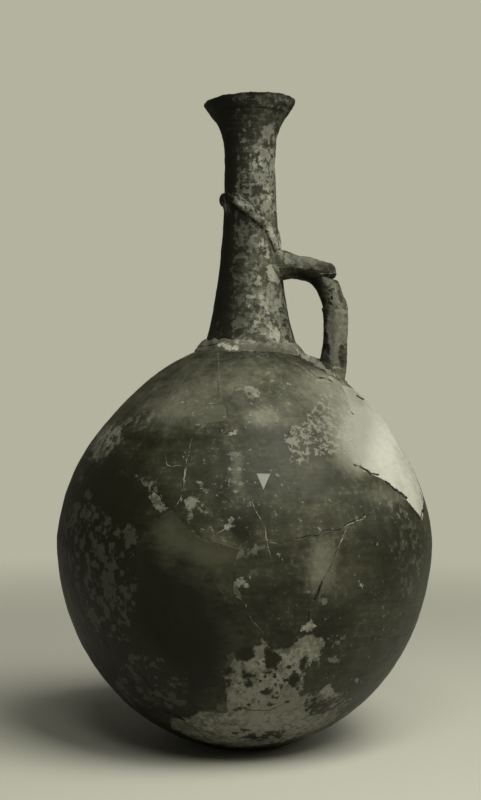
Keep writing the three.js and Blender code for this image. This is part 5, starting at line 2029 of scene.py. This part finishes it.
    def pieces(self) -> tuple[dict[str, Blank], Array, Array]:
        """Arm, bend and strap, cut from the sweep.

        Returns:
            Their meshes, a place on the joint under the arm, and the direction square to that joint.
        """
        sweep = self.sweep()
        tilt = math.radians(self.break_tilt)
        up = np.array([-math.sin(tilt), 0.0, math.cos(tilt)])
        ahead, level = np.array([1.0, 0.0, 0.0]), np.array([0.0, 0.0, 1.0])
        foot, outward = self.foot()
        bend_corners = self.stretches()[1]
        upper = bezier(np.array([[self.break_share]]), bend_corners)[0] + self.break_rise * level
        lower = np.array(bend_corners[-1]) + self.strap_rise * level
        gap = self.neck.joint - self.close
        in_neck = ((self.neck_face - self.neck_bed) * ahead, -ahead)
        under_arm = (upper - self.close * up, -up)
        behind_end = ((self.end_reach - self.end_cut) * ahead, ahead)
        in_wall = (foot - self.foot_bed * outward, -outward)
        arm = self.part(sweep, [in_neck, under_arm, behind_end])
        made = {
            "handle_arm": merged([arm, self.part(self.block(), [under_arm])], self.skin),
            "handle_bend": self.part(sweep, [(upper - gap * up, up), (lower - self.close * level, -level)]),
            "handle_strap": self.part(sweep, [(lower - gap * level, level), in_wall]),
        }
        return made, upper, up

    def build(self, material: Material, plaster: Material) -> None:
        """Make and dress the three pieces and the plaster.

        Args:
            material: Finish of the handle.
            plaster: Finish of the plaster.
        """
        pieces, joint, up = self.pieces()
        for (node, blank), wear in zip(pieces.items(), self.wears):
            blank.refine(lambda middles: np.full(len(middles), self.fine))
            normals = blank.normals()
            fields = self.marks.fields(blank.points, normals, wear)
            lift = self.relief.lift(blank.points, fields)
            lift += self.shaped(node, blank.points, normals, joint, up)
            blank.points += normals * lift[:, None]
            blank.dress(node, Slot.WORN_SLIP, material, fields, self.sharp)
        lump = self.root_plaster()
        fields = self.marks.fields(lump.points, lump.normals(), self.plaster_wear)
        lump.dress("handle_root_plaster", Slot.PLASTER, plaster, fields)


@dataclass
class ReliefBand:
    """Clay strips and knob pressed onto the neck."""

    neck: NeckForm
    marks: MarkSet
    front_height: float = 100.6
    handle_height: float = 68.0
    front_turn: float = 115.0
    break_turn: float = 41.0
    break_gap: float = 1.2
    handle_turn: float = 15.0
    curve: float = 0.9
    width: float = 7.6
    proud: float = 2.4
    knob_proud: float = 3.6
    knob_width: float = 10.0
    knob_turn: float = 12.0
    tail_drop: float = 11.0
    tail_turn: float = 27.0
    handle_top: float = 63.2
    side_fullness: float = 0.8
    out_fullness: float = 0.5
    strip_steps: int = 60
    tail_steps: int = 30
    lug_rows: int = 24
    lug_sides: int = 40
    skin: float = 0.45
    sides: int = 28
    fine: float = 0.8
    sharp: float = 62.0
    wear: float = 0.85
    relief: Relief = Relief(Grain(51), 0.24, 9.0, 3, flake=0.25)

    def height(self, turn: Array) -> Array:
        """Height of the band at turns from the handle in degrees."""
        share = np.minimum(1.0, np.abs(turn) / self.front_turn) ** self.curve
        return self.neck.seat + self.handle_height + (self.front_height - self.handle_height) * share

    def strip(self, turn: Array, height: Array, half_width: Array, proud: Array) -> Blank:
        """Half-round strip of clay along the neck's face.

        Args:
            turn: Turns from the handle in degrees.
            height: Heights above the base.
            half_width: Half the strip's width at each place.
            proud: How far it stands out at each place.

        Returns:
            Closed mesh.
        """
        angle = np.radians(turn)
        line = self.neck.placed(self.neck.radius_at(height), angle, height)
        along = unit(np.gradient(line, axis=0))
        outward = np.stack([np.cos(angle), np.sin(angle), 0.0 * angle], axis=1)
        sideways = unit(np.cross(along, outward))
        round_strip = around(self.sides)
        side = half_width[:, None] * squarish(np.cos(round_strip), self.side_fullness)
        out = proud[:, None] * squarish(np.sin(round_strip), self.out_fullness)
        side, out = side[:, :, None] * sideways[:, None, :], out[:, :, None] * outward[:, None, :]
        blank = loft(line[:, None, :] + side + out)
        blank.refine(lambda middles: np.full(len(middles), self.fine))
        return blank

    def knob(self) -> Blank:
        """Rounded lug at the front with a tail that runs down and round from it.

        Returns:
            Closed mesh.
        """
        share = np.linspace(0.0, 1.0, self.tail_steps)
        turn = 180.0 + self.knob_turn + self.tail_turn * share ** 0.8
        height = self.neck.seat + self.front_height - self.tail_drop * share ** 1.6
        taper = 1.0 - 0.8 * share ** 1.5
        tail = self.strip(turn, height, taper * self.width / 2.0, taper * self.proud)
        angle = math.radians(180.0 + self.knob_turn)
        outward = np.array([math.cos(angle), math.sin(angle), 0.0])
        sideways = np.array([-math.sin(angle), math.cos(angle), 0.0])
        half = self.knob_width / 2.0
        lug = ball(self.lug_rows, self.lug_sides) * np.array([self.knob_proud, half, half])
        foot = self.neck.placed(self.neck.radius_at(height[0]), np.array(angle), height[0])
        axes = np.array([outward, sideways, (0.0, 0.0, 1.0)])
        return merged([loft(foot + lug @ axes), tail], self.skin)

    def build(self, material: Material) -> None:
        """Make and dress the strips and the knob.

        Args:
            material: Finish of all of them.
        """
        share = np.linspace(0.0, 1.0, self.strip_steps)
        ends = np.sqrt(np.clip(1.0 - (2.0 * share - 1.0) ** 12, 0.01, 1.0))
        top = self.neck.seat + self.handle_top
        first = self.front_turn + self.knob_turn / 2.0
        last = self.break_turn + self.break_gap / 2.0
        start = self.break_turn - self.break_gap / 2.0
        pieces = {"front_knob": self.knob()}
        half, proud = ends * self.width / 2.0, ends * self.proud
        for sign, side in ((-1.0, "near"), (1.0, "far")):
            turn = sign * (first + (last - first) * share)
            pieces[f"relief_strip_front_{side}"] = self.strip(turn, self.height(turn), half, proud)
            turn = sign * (start + (self.handle_turn - start) * share)
            low = self.height(turn) + (top - self.height(turn[-1:])) * share ** 1.5
            pieces[f"relief_strip_handle_{side}"] = self.strip(turn, low, half, proud * (1.0 - 0.3 * share))
        for node, blank in pieces.items():
            normals = blank.normals()
            fields = self.marks.fields(blank.points, normals, self.wear)
            blank.points += normals * self.relief.lift(blank.points, fields)[:, None]
            blank.dress(node, Slot.WORN_SLIP, material, fields, self.sharp)


@dataclass
class NeckBedding:
    """Lumpy ring of plaster that beds the neck on the shoulder."""

    neck: NeckForm
    marks: MarkSet
    radius: float = 37.0
    rise: float = 1.9
    lump: float = 1.4
    clod: float = 1.5
    bed: float = 3.0
    low_turn: float = -64.0
    low_from: float = 18.0
    low_to: float = 38.0
    low_share: float = 0.85
    fillet: float = 2.0
    overlap: float = 0.5
    slab_turn: float = 196.0
    slab_width: float = 24.0
    slab_swell: float = 3.0
    slab_rise: float = 1.2
    bite: float = 2.5
    swell: float = 1.5
    swell_size: float = 11.0
    rise_size: float = 12.0
    rise_shift: float = 70.0
    clod_size: float = 13.0
    crumb: float = 0.45
    crumb_size: float = 4.4
    crumb_shift: float = 40.0
    wear: float = 0.5
    crown_rows: int = 22
    bed_rows: int = 5
    sides: int = 300
    lump_grain: Grain = Grain(61)
    crumb_grain: Grain = Grain(62)

    def ring(self, radius: Array, height: Array) -> Array:
        """Places round the neck's foot.

        Args:
            radius: Distance from the neck's axis at each turn.
            height: Height above the base at each turn.

        Returns:
            One place for each turn.
        """
        turn = around(self.sides)
        across = radius * np.cos(turn) + self.neck.foot_offset
        return np.stack([across, radius * np.sin(turn), height], axis=1)

    def ground(self, radius: Array) -> Array:
        """Heights of the shoulder at radii round the neck's foot."""
        flat = self.ring(radius, 0.0 * radius)
        return self.neck.body.shoulder_height(np.hypot(flat[:, 0], flat[:, 1]))

    def lumpy(self) -> Array:
        """How lumpy the ring is all round: not where it is low and smooth."""
        off = np.abs((np.degrees(around(self.sides)) - self.low_turn + 180.0) % 360.0 - 180.0)
        return smoothstep(off, self.low_from, self.low_to)

    def rings(self) -> Array:
        """Rings from the outer edge over the crown to the neck, and back along the bed.

        Returns:
            Array of rings.
        """
        turn, lumpy = around(self.sides), self.lumpy()
        circle = self.radius * np.stack([np.cos(turn), np.sin(turn), 0.0 * turn], axis=1)
        full = self.low_share + (1.0 - self.low_share) * lumpy
        hollow = self.fillet + (0.8 - self.fillet) * lumpy
        swell = self.lump * (0.5 * np.sin(3.0 * turn + 1.0) + 0.5 * np.sin(7.0 * turn))
        swell += self.swell * self.lump_grain.layered(circle, self.swell_size, 2)
        slab = np.exp(-((np.degrees(turn) - self.slab_turn) / self.slab_width) ** 2)
        outer = self.radius + swell * lumpy + self.slab_swell * slab
        uneven = self.lump_grain.layered(circle + self.rise_shift, self.rise_size, 2)
        rise = full * self.rise * (1.0 + 0.5 * uneven) + self.slab_rise * slab
        inner = self.neck.foot_radius - self.bite
        rows = []
        for share in np.linspace(0.0, 1.0, self.crown_rows):
            radius = outer + (inner - outer) * share
            crown = self.neck.seat + rise * math.sin(math.pi / 2 * min(1.0, 0.25 + share))
            ground = self.ground(radius)
            bulge = math.sqrt(min(1.0, share * 4.0))
            climb = np.minimum(1.0, (outer - radius) / (outer - self.neck.foot_radius + self.overlap))
            height = ground + (crown - ground) * bulge * climb ** hollow
            rows.append(self.ring(radius, np.maximum(ground - 1.2 * (1.0 - bulge), height)))
        for share in np.linspace(1.0, 0.0, self.bed_rows):
            radius = outer + (inner - outer) * share
            rows.append(self.ring(radius, self.ground(radius) - self.bed))
        return np.stack(rows)

    def build(self, material: Material) -> None:
        """Make and dress the ring.

        Args:
            material: Finish of the plaster.
        """
        rings = self.rings()
        blank = loft(rings, closed_row=True)
        normals = blank.normals()
        clods = self.clod * np.abs(self.crumb_grain.layered(blank.points, self.clod_size, 3)) - 0.6
        crumbs = self.crumb * self.crumb_grain.layered(blank.points + self.crumb_shift, self.crumb_size, 3)
        above = np.repeat(np.arange(len(rings)) < self.crown_rows, self.sides)
        lift = np.where(above, clods * np.tile(self.lumpy(), len(rings)), 0.0) + crumbs
        blank.points += normals * lift[:, None]
        fields = self.marks.fields(blank.points, normals, self.wear)
        blank.dress("neck_joint_plaster", Slot.PLASTER, material, fields)


@dataclass(frozen=True)
class Lamp:
    """Soft square lamp aimed at the jug: degrees right of the camera and above the floor, watts, metres."""

    name: str
    turn: float
    rise: float
    power: float
    size: float
    distance: float = 1.7


@dataclass(frozen=True)
class Studio:
    """Pale floor that curves up into a backdrop, soft lamps and a dim even sky."""

    view: PhotoView
    floor_colour: Colour = (0.395, 0.391, 0.357)
    backdrop_colour: Colour = (0.455, 0.451, 0.350)
    floor_radius: float = 2.2
    rim_radius: float = 0.8
    wall_top: float = 3.2
    backdrop_from: float = 0.4
    backdrop_to: float = 1.2
    sides: int = 96
    bend_steps: int = 24
    inner_rings: tuple[float, ...] = (0.02, 0.5, 1.2)
    aim_height: float = 0.2
    sky: Colour = (1.0, 0.99, 0.90)
    sky_strength: float = 0.095
    floor_matt: float = 0.9
    lamp_colour: Colour = (1.0, 1.0, 0.86)
    lamps: tuple[Lamp, ...] = (
        Lamp("window_lamp", 40.0, 52.0, 42.0, 1.0),
        Lamp("side_lamp", 80.0, 26.0, 6.0, 0.8),
        Lamp("front_lamp", -6.0, 46.0, 5.5, 0.4),
    )

    def paper(self) -> Material:
        """Finish of the floor, even in tone where it rises into the backdrop.

        Returns:
            The finished material.
        """
        bench = Bench("floor_paper")
        bench.feed(bench.shader.inputs["Base Color"], (*self.floor_colour, 1.0))
        bench.feed(bench.shader.inputs["Roughness"], self.floor_matt)
        reach = bench.add("VectorMath", {0: bench.stretched((1.0, 1.0, 0.0))}, "Value", operation="LENGTH")
        far = bench.ease(reach, self.backdrop_from, self.backdrop_to)
        share = bench.math("MULTIPLY", far, bench.add("LightPath", {}, "Is Camera Ray"))
        glow = bench.add("Emission", {"Color": (*self.backdrop_colour, 1.0)}, 0)
        blend = bench.add("MixShader", {0: share, 1: bench.shader.outputs[0], 2: glow}, 0)
        bench.feed(bench.tree.nodes["Material Output"].inputs["Surface"], blend)
        return bench.material

    def floor(self) -> None:
        """Make the floor."""
        bend = np.linspace(0.0, math.pi / 2.0, self.bend_steps)
        curve = self.floor_radius + self.rim_radius * np.sin(bend)
        radius = np.concatenate([self.inner_rings, curve, curve[-1:]])
        rise = self.rim_radius * (1.0 - np.cos(bend))
        level = np.concatenate([np.zeros(len(self.inner_rings)), rise, [self.wall_top]])
        turn = around(self.sides)
        circle = np.stack([np.cos(turn), np.sin(turn), 0.0 * turn], axis=1)
        spots = [reach * circle + (0.0, 0.0, height) for reach, height in zip(radius, level)]
        row, spot = np.meshgrid(np.arange(len(radius) - 1), np.arange(self.sides), indexing="ij")
        after = (spot + 1) % self.sides
        low, high = row * self.sides, (row + 1) * self.sides
        walls = np.stack([low + spot, high + spot, high + after, low + after], axis=-1).reshape(-1, 4)
        mesh = bpy.data.meshes.new("floor")
        mesh.from_pydata(np.concatenate(spots).tolist(), [], walls.tolist() + [list(range(self.sides))])
        mesh.shade_smooth()
        mesh.materials.append(self.paper())
        made = bpy.data.objects.new("floor", mesh)
        bpy.context.collection.objects.link(made)

    def hang(self, lamp: Lamp) -> None:
        """Make one lamp.

        Args:
            lamp: What the lamp is and where it hangs.
        """
        light = bpy.data.lights.new(lamp.name, "AREA")
        light.size = lamp.size
        light.energy = lamp.power
        light.color = self.lamp_colour
        angle, lift = math.radians(self.view.turn - 90.0 + lamp.turn), math.radians(lamp.rise)
        away = Vector((math.cos(angle) * math.cos(lift), math.sin(angle) * math.cos(lift), math.sin(lift)))
        made = bpy.data.objects.new(lamp.name, light)
        made.location = Vector((0.0, 0.0, self.aim_height)) + away * lamp.distance
        made.rotation_euler = away.to_track_quat("Z", "Y").to_euler()
        made.visible_camera = False
        bpy.context.collection.objects.link(made)

    def build(self) -> None:
        """Make the floor, the lamps and the sky, and set the plain view transform."""
        self.floor()
        for lamp in self.lamps:
            self.hang(lamp)
        world = bpy.data.worlds.new("sky")
        world.use_nodes = True
        background = world.node_tree.nodes["Background"]
        background.inputs["Color"].default_value = (*self.sky, 1.0)
        background.inputs["Strength"].default_value = self.sky_strength
        bpy.context.scene.world = world
        bpy.context.scene.view_settings.view_transform = "Standard"


WALL_PIECES: tuple[tuple[str, Slot, float, float], ...] = (
    ("shoulder_sherd_left", Slot.DARK_SLIP, 0.3, 0.00),
    ("shoulder_sherd_front", Slot.WORN_SLIP, 0.4, 0.05),
    ("shoulder_sherd_right", Slot.WORN_SLIP, 0.6, -0.05),
    ("shoulder_sherd_back_right", Slot.DARK_SLIP, 0.4, 0.08),
    ("shoulder_sherd_back_left", Slot.DARK_SLIP, 0.3, -0.10),
    ("shoulder_plaster_fill", Slot.PLASTER, 0.0, -0.10),
    ("shoulder_plaster_plug", Slot.TONED_PLASTER, 0.0, -0.10),
    ("shoulder_plaster_triangle", Slot.PLASTER, 0.0, -0.08),
    ("belly_plaster_fill", Slot.TONED_PLASTER, 0.0, 0.10),
    ("belly_sherd_left", Slot.DARK_SLIP, 0.5, 0.00),
    ("belly_sherd_narrow", Slot.WORN_SLIP, 0.4, 0.05),
    ("belly_sherd_middle", Slot.WORN_SLIP, 0.4, 0.00),
    ("belly_sherd_right", Slot.DARK_SLIP, 0.4, -0.05),
    ("belly_sherd_back_right", Slot.DARK_SLIP, 0.3, 0.05),
    ("belly_sherd_back_left", Slot.DARK_SLIP, 0.5, -0.05),
    ("lower_sherd_left", Slot.DARK_SLIP, 0.6, 0.05),
    ("lower_sherd_front", Slot.WORN_SLIP, 0.6, 0.00),
    ("lower_sherd_right", Slot.DARK_SLIP, 0.5, 0.08),
    ("lower_sherd_back", Slot.DARK_SLIP, 0.6, -0.05),
    ("base_sherd", Slot.WORN_SLIP, 0.8, 0.00),
)


def main() -> None:
    """Build the jug piece by piece, then the studio."""
    logging.basicConfig(level=logging.INFO, format="%(message)s")
    view = PhotoView()
    view.make_camera()
    worn = SHOULDER_MARKS + BELLY_MARKS + LOWER_MARKS + NECK_MARKS
    marks = MarkSet(view, worn, JOINT_LINES, TONES_AND_SHADING, VEILS_AND_PAINTED_LIGHT)
    neck = NeckForm()
    wardrobe = Wardrobe()
    finishes = {
        Slot.DARK_SLIP: wardrobe.slip.make(),
        Slot.WORN_SLIP: wardrobe.worn.make(),
        Slot.PLASTER: wardrobe.plaster.make(),
        Slot.TONED_PLASTER: wardrobe.toned.make(),
    }
    own_finish = {
        "shoulder_plaster_triangle": wardrobe.dulled.make(),
        "shoulder_plaster_plug": wardrobe.greyed.make(),
    }
    neck_finish = wardrobe.neck.make()
    bedding = wardrobe.bedding.make()
    wall = BodyWall(neck.body, marks)
    for node, slot, wear, offset in WALL_PIECES:
        finish = own_finish.get(node, finishes[slot])
        wall.build_piece(node, slot, wear, offset, finish)
    NeckAndMouth(neck, marks).build(neck_finish)
    Handle(neck, marks).build(neck_finish, bedding)
    ReliefBand(neck, marks).build(neck_finish)
    NeckBedding(neck, marks).build(bedding)
    Studio(view).build()


if __name__ == "__main__":
    main()
